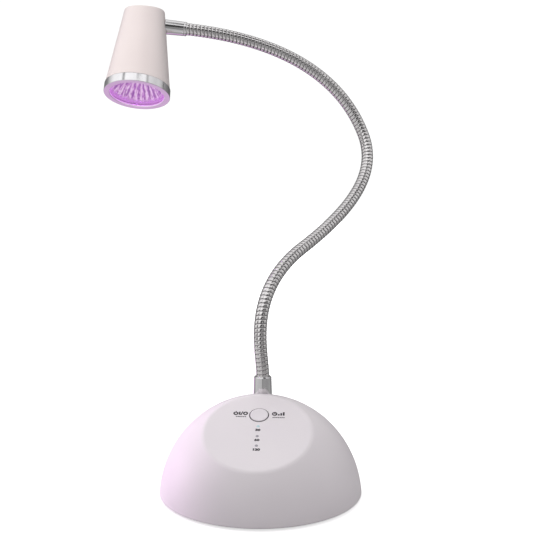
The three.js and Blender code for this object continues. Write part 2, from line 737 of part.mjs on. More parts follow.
function heatSink() {
  const [plateR, stemR] = [15, 5];
  const fins = FIN_HEIGHTS.map((h) => disc(FIN_R, h, h + 1, 20));
  const plate = disc(plateR, HEAT_SINK_BOTTOM, LEDGE.bottom - GAP, 28);
  const body = joined(plate, disc(stemR, HEAT_SINK_BOTTOM, HEAT_SINK_TOP, 16), ...fins);
  const holes = SINK_SCREW_XS.map((x) => disc(SINK_HOLE_R, 0, 22.7, 12).translate(x, 0, 0));
  return geometryOf(cut(body, ...holes));
}

const ferruleNut = () => alongFerrule(hexNut(7.6, SIDE_TAIL_R + GAP, 7.7, BOSS_X - GAP));

place(head, 'head_ferrule', headFerrule(), CHROME);
place(head, 'head_nut', ferruleNut(), STEEL);
place(head, 'head_shell', headShell(), WARM_WHITE);
place(head, 'head_bezel', bezel(), CHROME);
place(head, 'front_lens', disc(LENS.r, LENS.bottom, LENS.top, 36), CLEAR);
place(head, 'lens_gasket', ring(17.2, LENS.r, LENS.top + GAP, SPIGOT_END - GAP, 32), RUBBER);
place(head, 'reflector', reflector(), MIRROR);
place(head, 'led_board', ledBoard(), ALUMINIUM);
place(head, 'led_emitter', ledEmitter(), LED_YELLOW);
place(head, 'heat_sink', heatSink(), ALUMINIUM);
SINK_SCREW_XS.forEach((x, i) => {
  const upward = screw(...SINK_SCREW_SIZE).rotateX(Math.PI);
  place(head, `heat_sink_screw_${i + 1}`, upward, STEEL, x, 0, LED_BOARD.bottom - GAP);
});

export default lamp;
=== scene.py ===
"""Looks of the UV curing lamp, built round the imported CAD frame. Shapes are worked out in
millimetres, in the frame's own axes, and written to the meshes in metres."""
import math

import bmesh
import bpy
import numpy as np
from mathutils import Matrix, Vector


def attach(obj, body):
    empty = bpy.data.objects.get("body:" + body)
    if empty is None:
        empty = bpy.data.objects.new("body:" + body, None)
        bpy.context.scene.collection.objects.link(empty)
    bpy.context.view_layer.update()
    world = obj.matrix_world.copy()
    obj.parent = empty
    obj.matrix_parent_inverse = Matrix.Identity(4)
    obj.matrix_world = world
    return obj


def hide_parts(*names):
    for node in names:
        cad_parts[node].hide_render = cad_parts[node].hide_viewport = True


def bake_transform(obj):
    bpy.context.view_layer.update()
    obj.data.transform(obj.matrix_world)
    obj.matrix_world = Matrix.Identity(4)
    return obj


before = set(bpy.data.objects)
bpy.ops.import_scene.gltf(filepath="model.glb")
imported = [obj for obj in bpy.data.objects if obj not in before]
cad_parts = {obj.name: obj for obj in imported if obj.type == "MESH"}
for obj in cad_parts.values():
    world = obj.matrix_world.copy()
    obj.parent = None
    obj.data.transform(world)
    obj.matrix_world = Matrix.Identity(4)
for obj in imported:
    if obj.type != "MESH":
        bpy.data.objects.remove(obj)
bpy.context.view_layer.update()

MM = 0.001

# ---- driving dimensions, mm

DOME_R = 55.0
DOME_CENTRE = Vector((0, 0, -2.2))
DOME_WALL = 2.4
RIM_Z = 1.2
RIM_ROUND = 0.8
FACET_SLOPE = math.radians(27.5)
FACET_DISTANCE = 47.1
FACET_EDGE_R = 5.0
BUTTON_V = 12.3
BUTTON_R = 4.75
BUTTON_HOLE_R = 5.25
BUTTON_FLANGE_R = 6.5
WINDOW_VS = (3.7, -3.6, -10.4)
WINDOW_R = 0.5
WINDOW_HOLE_R = 0.62
FERRULE_SEAT_Z = 47.8
FERRULE_TOP_Z = 60.3
FERRULE_FOOT_R = 5.3
POCKET_R = 5.5
USB_Z = 16.8
USB_MOUTH_Y = 50.6
USB_WIDTH = 9.0
USB_HEIGHT = 3.2
USB_LENGTH = 7.4
PAD_R = 50.0
PAD_TOP = 1.6
INK_T = 0.04  # how proud the print stands
INK_LIFT = 0.01
NUMERAL_STRETCH = 1.3
NUMERAL_SIZE = 2.0
NUMERAL_DROP = 2.8  # below its light

NECK_R = 3.7
NECK_GROOVE = 0.28
CROWN_POWER = 3.4  # the flatness of each turn of the strip
NECK_BORE_R = 2.5
NECK_PITCH = 2.3
NECK_TUCK = 6.0
NECK_LINKS = 9
COIL_SIDES = 40
ROWS_PER_TURN = 14
BORE_ROWS = 12
LEAD_R = 1.1
LEAD_SIDES = 20
LEAD_ROWS = 24
SOCKET_R = 3.85  # round the end of the neck, in both ferrules
SOCKET_LIP_R = 3.8
SOCKET_DEPTH = 6.5
LEAD_HOLE_R = 1.8
BASE_TAIL_Z = 38
BASE_TAIL_R = 3.8
HEAD_TAIL = 7
HEAD_TAIL_R = 3.0
HEAD_SEAT = 13.2
# The centre line's Bezier nodes: each a place, and the pull to the handle after it.
NECK_NODES = (
    ((0, 17.5, 61), (0, 0, 13)),
    ((21.5, 49, 131), (31.5, 32, 23.5)),
    ((60, 100.5, 203), (-9.5, 3.5, 25)),
    ((-51.5, 79, 266.5), (-76, -12, 6.5)),
)
NECK_PLANE = Vector((0.365, -0.862, 0.349))  # square to the plane that the S lies in

HEAD_ROLL = math.radians(16.8)
HEAD_REACH = 26.8
FERRULE_HEIGHT = 47.7
HEAD_LENGTH = 58.2
TOP_SLANT = math.radians(20)
TOP_TURN = math.radians(-9)
HEAD_MOUTH_R = 19.6
HEAD_TAPER = 0.14
HEAD_WALL = 1.8
HEAD_EDGE_R = 2.5
SPIGOT_R = 18.6
SPIGOT_BORE_R = 17.1
SPIGOT_END = 3.6
SHOULDER = 5.3
BEZEL_R = 20.05
BEZEL_HEIGHT = 5.0
BEZEL_OPENING_R = 16.4
LENS_R = 18.5
LENS_BOTTOM = 1.4
LENS_TOP = 2.6
REFLECTOR_BACK = 16.9
REFLECTOR_FLUTES = 24
EMITTER_TOP = 18.2

# ---- frames


def shift(x, y, z):
    return Matrix.Translation((x, y, z))


def turn(axis, quarters=1):
    return Matrix.Rotation(quarters * math.pi / 2, 4, axis)


def axes_frame(origin, x, y, z):
    """The matrix that places a shape drawn on the given axes at the given origin."""
    return Matrix.Translation(origin) @ Matrix((x, y, z)).transposed().to_4x4()


def head_frame():
    """Z up the head's axis from the front of its bezel, X out along the ferrule."""
    end = Vector(NECK_NODES[-1][0])
    inward = Vector(NECK_NODES[-1][1]).normalized()
    upright = (Vector((0, 0, 1)) - inward * inward.z).normalized()
    up = Matrix.Rotation(HEAD_ROLL, 3, inward) @ upright
    mouth = end + HEAD_REACH * inward - FERRULE_HEIGHT * up
    out = -inward
    return axes_frame(mouth, out, up.cross(out), up)


neck_base = Vector(NECK_NODES[0][0])
facet_out = Vector((0, -math.sin(FACET_SLOPE), math.cos(FACET_SLOPE)))
facet_up = Vector((0, math.cos(FACET_SLOPE), math.sin(FACET_SLOPE)))

FACET = axes_frame(DOME_CENTRE + FACET_DISTANCE * facet_out,
                   Vector((1, 0, 0)), facet_up, facet_out)
AT_BUTTON = FACET @ shift(0, BUTTON_V, 0)
UPRIGHT = Matrix.Identity(4)
AT_FERRULE = shift(neck_base.x, neck_base.y, 0)
HEAD = head_frame()
HEAD_FERRULE = HEAD @ shift(0, 0, FERRULE_HEIGHT) @ turn("Y")

# ---- material nodes


class Nodes:
    """Short ways to add and link the nodes of one material or world."""

    def __init__(self, owner):
        owner.use_nodes = True
        self.owner = owner
        self.tree = owner.node_tree
        self.tree.nodes.clear()

    def add(self, kind, inputs=None, output=0, **settings):
        """Adds a node with its inputs set or linked, and returns one of its outputs."""
        node = self.tree.nodes.new(kind)
        for name, value in settings.items():
            setattr(node, name, value)
        for name, value in (inputs or {}).items():
            socket = node.inputs[name]
            if isinstance(value, bpy.types.NodeSocket):
                self.tree.links.new(value, socket)
            else:
                socket.default_value = (*value, 1) if socket.type == "RGBA" else value
        return node.outputs[output]

    def coordinates(self, kind="Object"):
        return self.add("ShaderNodeTexCoord", output=kind)

    def noise(self, scale, detail=3.0, vector=None):
        place = vector or self.coordinates()
        return self.add("ShaderNodeTexNoise", {"Vector": place, "Scale": scale, "Detail": detail})

    def stretched(self, scale):
        place = {"Vector": self.coordinates(), "Scale": scale}
        return self.add("ShaderNodeMapping", place)

    def bearing(self, vector):
        """The bearing of a direction, 0 and 1 on the left and a quarter in front."""
        return self.add("ShaderNodeTexGradient", {"Vector": vector}, "Fac", gradient_type="RADIAL")

    def math(self, operation, first, second=0.0):
        return self.add("ShaderNodeMath", {0: first, 1: second}, operation=operation)

    def spread(self, value, low, high, from_low=0.3, from_high=0.7):
        return self.add("ShaderNodeMapRange", {
            "Value": value, "From Min": from_low, "From Max": from_high,
            "To Min": low, "To Max": high,
        })

    def ramp(self, value, stops):
        """A colour for each value, from (place, colour) pairs."""
        colour_out = self.add("ShaderNodeValToRGB", {"Fac": value})
        elements = colour_out.node.color_ramp.elements
        while len(elements) < len(stops):
            elements.new(0.5)
        for element, (place, colour) in zip(elements, stops):
            element.position = place
            element.color = (*colour, 1)
        return colour_out

    def between(self, share, first, second):
        return self.ramp(share, ((0.3, first), (0.7, second)))

    def greys(self, value, levels):
        """A grey for each value, from (place, level) pairs."""
        return self.ramp(value, [(place, (level,) * 3) for place, level in levels])

    def blend(self, share, first, second):
        """Two colours or colour sockets mixed by a share."""
        colours = {"Factor": share, 6: first, 7: second}
        return self.add("ShaderNodeMix", colours, output=2, data_type="RGBA")

    def bump(self, height, strength, distance):
        settings = {"Height": height, "Strength": strength, "Distance": distance}
        return self.add("ShaderNodeBump", settings)

    def split(self, vector):
        """The X, Y and Z of a vector."""
        return self.add("ShaderNodeSeparateXYZ", {"Vector": vector}).node.outputs[:3]

    def on_head(self):
        """Z on the head's axes, the bearing about its axis and the distance from it."""
        to_head = HEAD.inverted()
        place = self.add("ShaderNodeMapping", {
            "Vector": self.coordinates(),
            "Location": tuple(MM * to_head.translation),
            "Rotation": tuple(to_head.to_euler()),
        })
        x, y, z = self.split(place)
        squares = self.math("ADD", self.math("MULTIPLY", x, x), self.math("MULTIPLY", y, y))
        return z, self.math("ARCTAN2", y, x), self.math("SQRT", squares)

    def mixed(self, share, first, second):
        """Two shaders mixed by a share."""
        return self.add("ShaderNodeMixShader", {"Fac": share, 1: first, 2: second})

    def by_ray(self, otherwise, **shaders):
        """Another shader for each kind of ray named, such as Glossy or Camera."""
        kinds = self.add("ShaderNodeLightPath").node.outputs
        result = otherwise
        for kind, shader in shaders.items():
            result = self.mixed(kinds[f"Is {kind} Ray"], result, shader)
        return result

    def surface(self, inputs):
        return self.finish(self.add("ShaderNodeBsdfPrincipled", inputs))

    def finish(self, shader, output="ShaderNodeOutputMaterial"):
        """Links the last shader to the output, and returns the finished material or world."""
        self.tree.links.new(shader, self.tree.nodes.new(output).inputs["Surface"])
        return self.owner


def new_material(name):
    return Nodes(bpy.data.materials.new(name))


def moulded(name, first, second, roughness, grain=1400, depth=0.02, sway=0.05):
    """Injection-moulded plastic: a faint drift of colour, a fine spark-eroded grain and a gloss
    that varies over the surface."""
    nodes = new_material(name)
    return nodes.surface({
        "Base Color": nodes.between(nodes.noise(22, 2), first, second),
        "Roughness": nodes.spread(nodes.noise(90), roughness - sway, roughness + sway),
        "Normal": nodes.bump(nodes.noise(grain, 4), 0.25, depth * MM),
    })


def plated(nodes, first, second, smoothest, roughest, haze=120, streaks=(900, 900, 60)):
    """What plated metal gives its shader: fine polishing streaks in its gloss and relief, and
    slight hazing."""
    streak = nodes.noise(1.0, 3, nodes.stretched(streaks))
    return {
        "Base Color": nodes.between(nodes.noise(haze), first, second),
        "Metallic": 1.0,
        "Roughness": nodes.spread(streak, smoothest, roughest),
        "Normal": nodes.bump(streak, 0.2, 0.004 * MM),
    }


def polished(name, first, second, roughness):
    nodes = new_material(name)
    return nodes.surface(plated(nodes, first, second, roughness * 0.7, roughness * 1.5))


def bezel_material():
    """Polished chrome, with the emitter's violet light spilling onto its bore painted on as a
    glow.
    """
    nodes = new_material("chrome_bezel")
    _, _, across = nodes.on_head()
    return nodes.surface({
        **plated(nodes, (0.78, 0.77, 0.79), (0.84, 0.83, 0.85), 0.07, 0.15),
        "Emission Color": (0.66, 0.33, 0.72),
        "Emission Strength": nodes.spread(across, 0.6, 0.0, 16.5 * MM, 16.8 * MM),
    })


def neck_material():
    """Polished wound strip, with painted shade darkening it down in its groove."""
    nodes = new_material("chrome_neck")
    look = plated(nodes, (0.73, 0.71, 0.715), (0.83, 0.81, 0.81), 0.10, 0.2, 160, (700,) * 3)
    groove = nodes.add("ShaderNodeAttribute", output="Fac", attribute_name="groove")
    # Painted shade: the base colour goes dark towards the bottom of the groove.
    shade = nodes.spread(groove, 0, 1, 0.12, 0.6)
    look["Base Color"] = nodes.blend(shade, look["Base Color"], (0.07, 0.06, 0.07))
    return nodes.surface(look)


def rubber_material():
    nodes = new_material("rubber_black")
    grain = nodes.noise(2600, 5)
    return nodes.surface({
        "Base Color": nodes.between(nodes.noise(60), (0.028, 0.028, 0.03), (0.05, 0.05, 0.053)),
        "Roughness": nodes.spread(grain, 0.72, 0.92),
        "Normal": nodes.bump(grain, 0.5, 0.06 * MM),
    })


def board_material():
    """Green solder mask over traces and the weave of the board."""
    nodes = new_material("board_green")
    check = {"Vector": nodes.coordinates(), "Scale": 1600}
    weave = nodes.add("ShaderNodeTexChecker", check, "Fac")
    traces = nodes.noise(420, 1)
    return nodes.surface({
        "Base Color": nodes.between(traces, (0.02, 0.16, 0.08), (0.05, 0.26, 0.13)),
        "Roughness": nodes.spread(traces, 0.35, 0.5),
        "Normal": nodes.bump(weave, 0.15, 0.02 * MM),
    })


def ink_material():
    nodes = new_material("ink_grey")
    patchy = nodes.noise(2200)
    return nodes.surface({
        "Base Color": nodes.between(patchy, (0.014, 0.011, 0.016), (0.035, 0.03, 0.038)),
        "Roughness": nodes.spread(patchy, 0.45, 0.6),
    })


def clear_material():
    """A clear moulded disc: it lets the light straight through and keeps its surface gloss."""
    nodes = new_material("clear_plastic")
    gloss = nodes.add("ShaderNodeBsdfGlossy", {
        "Color": (1, 0.97, 1),
        "Roughness": nodes.spread(nodes.noise(70, 2), 0.02, 0.06),
    })
    through = nodes.add("ShaderNodeBsdfTransparent", {"Color": (0.98, 0.93, 1)})
    facing = nodes.add("ShaderNodeLayerWeight", {"Blend": 0.5}, "Facing")
    mirrored = nodes.spread(nodes.math("POWER", facing, 5.0), 0.03, 0.8, 0, 1)
    return nodes.finish(nodes.mixed(mirrored, through, gloss))


def glowing(name, base, glow, strength, spot_scale=900):
    """A lit part: its own colour with a glow that is a little uneven."""
    nodes = new_material(name)
    uneven = nodes.noise(spot_scale, 2)
    return nodes.surface({
        "Base Color": nodes.between(uneven, base, tuple(c * 0.85 for c in base)),
        "Roughness": nodes.spread(uneven, 0.2, 0.35),
        "Emission Color": glow,
        "Emission Strength": nodes.spread(uneven, strength * 0.8, strength * 1.2),
    })


def reflector_material():
    """Vacuum-metallised plastic, lit violet by the emitter at its back, which is painted on as a
    glow:
    painted highlights on the crests and painted shade in the creases of its flutes, with streaks
    across them, and a painted magenta glow in a band just inside its mouth and at its rim."""
    nodes = new_material("reflector_mirror")
    orange_peel = nodes.noise(500, 2)
    height, angle, _ = nodes.on_head()
    swing = nodes.math("SINE", nodes.math("MULTIPLY", angle, REFLECTOR_FLUTES / 2))
    crest = nodes.math("POWER", nodes.math("ABSOLUTE", swing), 0.9)
    around = nodes.add("ShaderNodeCombineXYZ", {
        "X": nodes.math("MULTIPLY", nodes.math("COSINE", angle), 6),
        "Y": nodes.math("MULTIPLY", nodes.math("SINE", angle), 6),
        "Z": nodes.math("MULTIPLY", height, 160),
    })
    streak = nodes.spread(nodes.noise(2.6, 4, around), -0.85, 0.7, 0.32, 0.68)
    # Painted light: bright highlights on the flute crests and painted shade in the creases.
    flutes = nodes.ramp(nodes.math("ADD", crest, streak), (
        (0.05, (0.20, 0.05, 0.27)), (0.4, (0.46, 0.20, 0.50)),
        (0.72, (0.72, 0.42, 0.68)), (1.0, (1.0, 0.84, 0.96)),
    ))
    # Painted magenta glow in a band just inside the mouth, and another at the rim.
    groove = nodes.math("MULTIPLY", nodes.spread(height, 0, 1, 3.2 * MM, 3.4 * MM),
                        nodes.spread(height, 1, 0, 3.7 * MM, 4.1 * MM))
    walls = nodes.blend(groove, flutes, (0.64, 0.29, 0.68))
    rim = nodes.spread(height, 1, 0, 3.05 * MM, 3.25 * MM)
    return nodes.surface({
        "Base Color": nodes.between(orange_peel, (0.30, 0.20, 0.34), (0.36, 0.26, 0.40)),
        "Metallic": 1.0,
        "Roughness": nodes.spread(orange_peel, 0.08, 0.16),
        "Normal": nodes.bump(orange_peel, 0.2, 0.02 * MM),
        "Emission Color": nodes.blend(rim, walls, (0.72, 0.28, 0.82)),
        "Emission Strength": 0.66,
    })


DOME_WHITE = moulded("dome_white", (0.80, 0.765, 0.785), (0.83, 0.795, 0.81), 0.38, sway=0.02)
HEAD_WHITE = moulded("head_white", (0.81, 0.75, 0.725), (0.84, 0.78, 0.755), 0.3, sway=0.012)
BUTTON_WHITE = moulded("button_white", (0.79, 0.755, 0.785), (0.82, 0.785, 0.81), 0.34, grain=2000)
INNER_PLASTIC = moulded("inner_plastic", (0.62, 0.62, 0.61), (0.67, 0.67, 0.66), 0.5, depth=0.05)
BLACK_PLASTIC = moulded("black_plastic", (0.02, 0.02, 0.022), (0.035, 0.035, 0.038), 0.45)
LEAD_SHEATH = moulded("lead_sheath", (0.23, 0.23, 0.24), (0.28, 0.28, 0.29), 0.55, grain=1800)
CHROME = polished("chrome_polished", (0.72, 0.71, 0.72), (0.78, 0.77, 0.78), 0.09)
BEZEL_CHROME = bezel_material()
NECK_CHROME = neck_material()
STEEL = polished("steel_zinc", (0.5, 0.51, 0.53), (0.58, 0.59, 0.6), 0.3)
ALUMINIUM = polished("aluminium_turned", (0.68, 0.69, 0.7), (0.76, 0.77, 0.78), 0.25)
GOLD = polished("contact_gold", (0.8, 0.56, 0.2), (0.88, 0.66, 0.28), 0.22)
RUBBER = rubber_material()
BOARD = board_material()
INK = ink_material()
CLEAR = clear_material()
REFLECTOR = reflector_material()
EMITTER_LIT = glowing("emitter_lit", (0.8, 0.5, 0.95), (0.62, 0.16, 1.0), 18)
# The gasket's glow is painted light: the emitter's violet light shown as a glow on the silicone.
GASKET = glowing("gasket_silicone", (0.62, 0.42, 0.68), (0.70, 0.30, 0.76), 0.55, 500)
LED_YELLOW = moulded("led_yellow", (0.75, 0.66, 0.25), (0.82, 0.74, 0.35), 0.3)
WINDOW_ON = glowing("window_on", (0.5, 0.68, 0.7), (0.3, 0.6, 0.62), 0.12)
WINDOW_OFF = moulded("window_off", (0.36, 0.35, 0.38), (0.42, 0.41, 0.44), 0.25)

# ---- mesh helpers


def unit(v):
    return v / np.linalg.norm(v, axis=-1, keepdims=True)


def rounded(points, radius, steps=4, closed=False, sharp=()):
    """A profile with each corner turned into an arc. The corners numbered in sharp are kept."""
    count = len(points)
    result = []
    for i, point in enumerate(points):
        inner = closed or 0 < i < count - 1
        if not inner or i in sharp:
            result.append(tuple(point))
            continue
        here = np.array(point, float)
        before = np.array(points[i - 1], float) - here
        after = np.array(points[(i + 1) % count], float) - here
        room = min(np.linalg.norm(before), np.linalg.norm(after)) * 0.48
        before, after = unit(before), unit(after)
        half = math.acos(float(np.clip(before @ after, -1, 1))) / 2
        if half > math.radians(88):
            result.append(tuple(point))
            continue
        reach = min(radius / math.tan(half), room)
        centre = here + unit(before + after) * reach / math.cos(half)
        start = here + before * reach - centre
        end = here + after * reach - centre
        sweep = math.atan2(start[0] * end[1] - start[1] * end[0], start @ end)
        for j in range(steps + 1):
            c, s = math.cos(sweep * j / steps), math.sin(sweep * j / steps)
            result.append((centre[0] + c * start[0] - s * start[1],
                           centre[1] + s * start[0] + c * start[1]))
    return result


def arc(r, z, radius, start, end, steps):
    """Points of an arc in a profile, angles in degrees from the outward direction."""
    angles = [math.radians(start + (end - start) * i / steps) for i in range(steps + 1)]
    return [(r + radius * math.cos(a), z + radius * math.sin(a)) for a in angles]


def skin(rows, closed=False):
    """Faces between rows of points, each row a loop. Corners that coincide are left out."""
    faces = []
    for low, high in zip(rows, rows[1:] + rows[:1] if closed else rows[1:]):
        for j in range(len(low)):
            k = (j + 1) % len(low)
            corners = [low[j], low[k], high[k], high[j]]
            face = [c for n, c in enumerate(corners) if c != corners[n - 1]]
            if len(face) > 2:
                faces.append(face)
    return faces


def loops(count, sides):
    """The numbers of points that were made loop by loop."""
    return [list(range(i * sides, (i + 1) * sides)) for i in range(count)]


def turned(profile, segments=96, closed=False, wave=None):
    """Vertices and faces of a profile of (radius, height) points turned about Z. wave(angle, i)
    scales the radius of profile point i at an angle."""
    verts, rows = [], []
    for i, (r, z) in enumerate(profile):
        if r < 1e-6:
            rows.append([len(verts)] * segments)
            verts.append((0, 0, z))
            continue
        rows.append(list(range(len(verts), len(verts) + segments)))
        for j in range(segments):
            angle = 2 * math.pi * j / segments
            radius = r * (wave(angle, i) if wave else 1)
            verts.append((radius * math.cos(angle), radius * math.sin(angle), z))
    return verts, skin(rows, closed)


def plug(radius, bottom, top, segments=64):
    """A plain cylinder, to cut with."""
    return turned([(0, bottom), (radius, bottom), (radius, top), (0, top)], segments)


def transformed(verts, matrix):
    """Vertices in mm on a frame's axes, as metres in the row frame."""
    return [tuple(MM * (matrix @ Vector(v))) for v in verts]


def new_mesh(name, verts, faces):
    mesh = bpy.data.meshes.new(name)
    mesh.from_pydata(verts, [], faces)
    return mesh


def linked(name, data):
    """A new object in the scene."""
    obj = bpy.data.objects.new(name, data)
    bpy.context.collection.objects.link(obj)
    return obj


def evaluated_mesh(obj):
    bpy.context.view_layer.update()
    evaluated = obj.evaluated_get(bpy.context.evaluated_depsgraph_get())
    return bpy.data.meshes.new_from_object(evaluated)


def faced_outward(mesh, weld=0):
    """The mesh with its faces turned outward, once points closer than weld are joined."""
    work = bmesh.new()
    work.from_mesh(mesh)
    if weld:
        bmesh.ops.remove_doubles(work, verts=work.verts, dist=weld)
    bmesh.ops.recalc_face_normals(work, faces=work.faces)
    work.to_mesh(mesh)
    work.free()
    return mesh


def piece(name, shape, material, body, stands_for=(), matrix=UPRIGHT, sharp=38):
    """A named object from (verts, faces) in mm, smooth but for edges sharper than an angle."""
    verts, faces = shape
    mesh = new_mesh(name, transformed(verts, matrix), faces)
    return finished(name, mesh, material, body, stands_for, sharp)


def finished(name, mesh, material, body, stands_for=(), sharp=38):
    """A named object from a mesh in metres, with its material, its body and its CAD nodes."""
    mesh.validate()
    faced_outward(mesh)
    mesh.materials.clear()
    mesh.materials.append(material)
    mesh.polygons.foreach_set("use_smooth", [True] * len(mesh.polygons))
    mesh.set_sharp_from_angle(angle=math.radians(sharp))
    obj = linked(name, mesh)
    obj.modifiers.new("even_normals", "WEIGHTED_NORMAL").keep_sharp = True
    if body:
        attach(obj, body)
    if stands_for:
        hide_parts(*stands_for)
    return obj


def joined(*shapes):
    """Several (verts, faces) as one."""
    verts, faces = [], []
    for more_verts, more_faces in shapes:
        offset = len(verts)
        verts += more_verts
        faces += [[offset + i for i in face] for face in more_faces]
    return verts, faces


def moved(shape, matrix):
    verts, faces = shape
    return [tuple(matrix @ Vector(v)) for v in verts], faces


def extruded(outline, bottom, top):
    """A closed prism of an outline of (x, y) points."""
    count = len(outline)
    verts = [(x, y, bottom) for x, y in outline] + [(x, y, top) for x, y in outline]
    faces = [[i, (i + 1) % count, count + (i + 1) % count, count + i] for i in range(count)]
    faces += [list(range(count))[::-1], list(range(count, 2 * count))]
    return verts, faces


def slot_outline(width, height, steps=12):
    """Two half circles joined by straights."""
    r = height / 2
    right = [(width / 2 - r + r * math.cos(a), r * math.sin(a))
             for a in np.linspace(-math.pi / 2, math.pi / 2, steps + 1)]
    left = [(-x, -y) for x, y in right]
    return right + left


def bevelled(shape, width, steps=2):
    """A box-like shape with its sharp edges rounded."""
    verts, faces = shape
    work = bmesh.new()
    made = [work.verts.new(v) for v in verts]
    for face in faces:
        work.faces.new([made[i] for i in face])
    bmesh.ops.recalc_face_normals(work, faces=work.faces)
    edges = [e for e in work.edges if e.calc_face_angle(0) > math.radians(40)]
    bmesh.ops.bevel(work, geom=edges, offset=width, segments=steps, affect="EDGES", profile=0.5)
    work.verts.index_update()
    result = [tuple(v.co) for v in work.verts], [[v.index for v in f.verts] for f in work.faces]
    work.free()
    return result


def box(cx, cy, cz, sx, sy, sz):
    verts = [(cx + sx * x / 2, cy + sy * y / 2, cz + sz * z / 2)
             for x in (-1, 1) for y in (-1, 1) for z in (-1, 1)]
    faces = [[0, 1, 3, 2], [4, 6, 7, 5], [0, 4, 5, 1], [2, 3, 7, 6], [0, 2, 6, 4], [1, 5, 7, 3]]
    return verts, faces


def cut_from(mesh, *cutters):
    """The mesh with cutters, each a shape in mm and its frame, taken away."""
    target = linked("target", mesh)
    tools = []
    for (verts, faces), matrix in cutters:
        data = new_mesh("cutter", transformed(verts, matrix), faces)
        tools.append(linked("cutter", faced_outward(data)))
        cut = target.modifiers.new("cut", "BOOLEAN")
        cut.operation = "DIFFERENCE"
        cut.solver = "EXACT"
        cut.object = tools[-1]
    result = evaluated_mesh(target)
    for leftover in [target, *tools]:
        bpy.data.objects.remove(leftover)
    return result

# ---- base


def dome_profile(inset, sphere_steps, edge_steps):
    """From the edge of the flat facet round onto the dome, in the facet's frame."""
    r = DOME_R - inset
    edge = FACET_EDGE_R - inset
    edge_z = -inset - edge
    edge_r = math.sqrt((r - edge) ** 2 - (edge_z + FACET_DISTANCE) ** 2)
    meet = math.degrees(math.atan2(edge_z + FACET_DISTANCE, edge_r))
    rim = arc(edge_r, edge_z, edge, 90, meet, edge_steps)
    return rim + arc(0, -FACET_DISTANCE, r, meet, -70, sphere_steps)[1:]


def hole_section(radius):
    """A hole through the facet with a softened edge."""
    soft = 0.1
    return arc(radius + soft, -soft, soft, 90, 180, 4) + [(radius, -DOME_WALL)]


def turned_skin(work, section, segments, v=0):
    """A section turned about a point v up the facet. Returns the edges of its first ring and of
    its last."""
    angles = np.linspace(0, 2 * math.pi, segments, endpoint=False)
    rings = [[work.verts.new((r * math.cos(a), v + r * math.sin(a), z)) for a in angles]
             for r, z in section]
    for face in skin(rings):
        work.faces.new(face)
    return [[work.edges.get((ring[i], ring[i - 1])) for i in range(segments)]
            for ring in (rings[0], rings[-1])]


def rim_edges(work, radius):
    """The open edges in the rim plane that lie on a circle of about this radius."""
    def on_circle(vert):
        return abs(math.hypot(vert.co.x, vert.co.y) - radius) < 0.3
    return [e for e in work.edges if e.is_boundary and all(on_circle(v) for v in e.verts)]


def extrude_rim(work, edges, section):
    """Draws a rim's open edges through rings of (radius, height) about the dome's axis."""
    for radius, height in section:
        made = bmesh.ops.extrude_edge_only(work, edges=edges)["geom"]
        for vert in (g for g in made if isinstance(g, bmesh.types.BMVert)):
            flat = Vector((vert.co.x, vert.co.y, 0)).normalized() * radius
            vert.co = Vector((flat.x, flat.y, height))
        edges = [g for g in made if isinstance(g, bmesh.types.BMEdge) and g.is_boundary]
    return edges


def dome_mesh():
    work = bmesh.new()
    outside, _ = turned_skin(work, dome_profile(0, 64, 10), 176)
    inside, _ = turned_skin(work, dome_profile(DOME_WALL, 24, 3), 64)
    holes = [(BUTTON_V, BUTTON_HOLE_R, 72)] + [(v, WINDOW_HOLE_R, 24) for v in WINDOW_VS]
    for v, radius, segments in holes:
        top, bottom = turned_skin(work, hole_section(radius), segments, v)
        outside += top
        inside += bottom
    for edges in (outside, inside):
        bmesh.ops.triangle_fill(work, use_beauty=True, edges=edges)
    bmesh.ops.transform(work, matrix=FACET, verts=work.verts)

    cut_z = RIM_Z + RIM_ROUND
    everything = work.verts[:] + work.edges[:] + work.faces[:]
    bmesh.ops.bisect_plane(work, geom=everything, plane_co=(0, 0, cut_z), plane_no=(0, 0, -1),
                           clear_outer=True)
    bmesh.ops.remove_doubles(work, verts=work.verts, dist=1e-4)
    drop = cut_z - DOME_CENTRE.z
    outer_r = math.sqrt(DOME_R ** 2 - drop ** 2)
    inner_r = math.sqrt((DOME_R - DOME_WALL) ** 2 - drop ** 2)
    lip = arc(outer_r - RIM_ROUND, cut_z, RIM_ROUND, 0, -90, 5)[1:]
    lip += [(inner_r + 0.3, RIM_Z), (inner_r + 0.05, RIM_Z + 0.25)]
    inner_edges = rim_edges(work, inner_r)
    lower = extrude_rim(work, rim_edges(work, outer_r), lip)
    bmesh.ops.bridge_loops(work, edges=lower + inner_edges)
    bmesh.ops.scale(work, vec=(MM, MM, MM), verts=work.verts)
    bmesh.ops.recalc_face_normals(work, faces=work.faces)
    mesh = bpy.data.meshes.new("dome")
    work.to_mesh(mesh)
    work.free()
    return mesh


def dome_cover():
    """The dome, with a pocket for the ferrule and a mouth for the power inlet."""
    pocket = plug(POCKET_R, FERRULE_SEAT_Z, 60)
    clearance = 0.7
    mouth = extruded(slot_outline(USB_WIDTH + clearance, USB_HEIGHT + clearance), 0, 20)
    at_back = shift(0, USB_MOUTH_Y + 12, USB_Z) @ turn("X")
    mesh = cut_from(dome_mesh(), (pocket, AT_FERRULE), (mouth, at_back))
    finished("dome_cover", mesh, DOME_WHITE, "base", ["base_shell"], 30)


def foot():
    """The anti-slip disc: a soft edge, and rings of ribs pressed into its underside."""
    pitch, depth = 4.2, 0.45
    profile = [(0, 0.2), (6, 0.2), (6.4, 0)]
    for r in (10.0 + pitch * i for i in range(9)):
        profile += [(r, 0), (r + 0.5, depth), (r + 1.5, depth), (r + 2.0, 0)]
    edge = rounded([profile[-1], (PAD_R, 0), (PAD_R, PAD_TOP), (0, PAD_TOP)], 0.45, 4)
    shape = turned(profile + edge[1:], 128)
    piece("anti_slip_foot", shape, RUBBER, "base", ["foot_pad"], sharp=50)


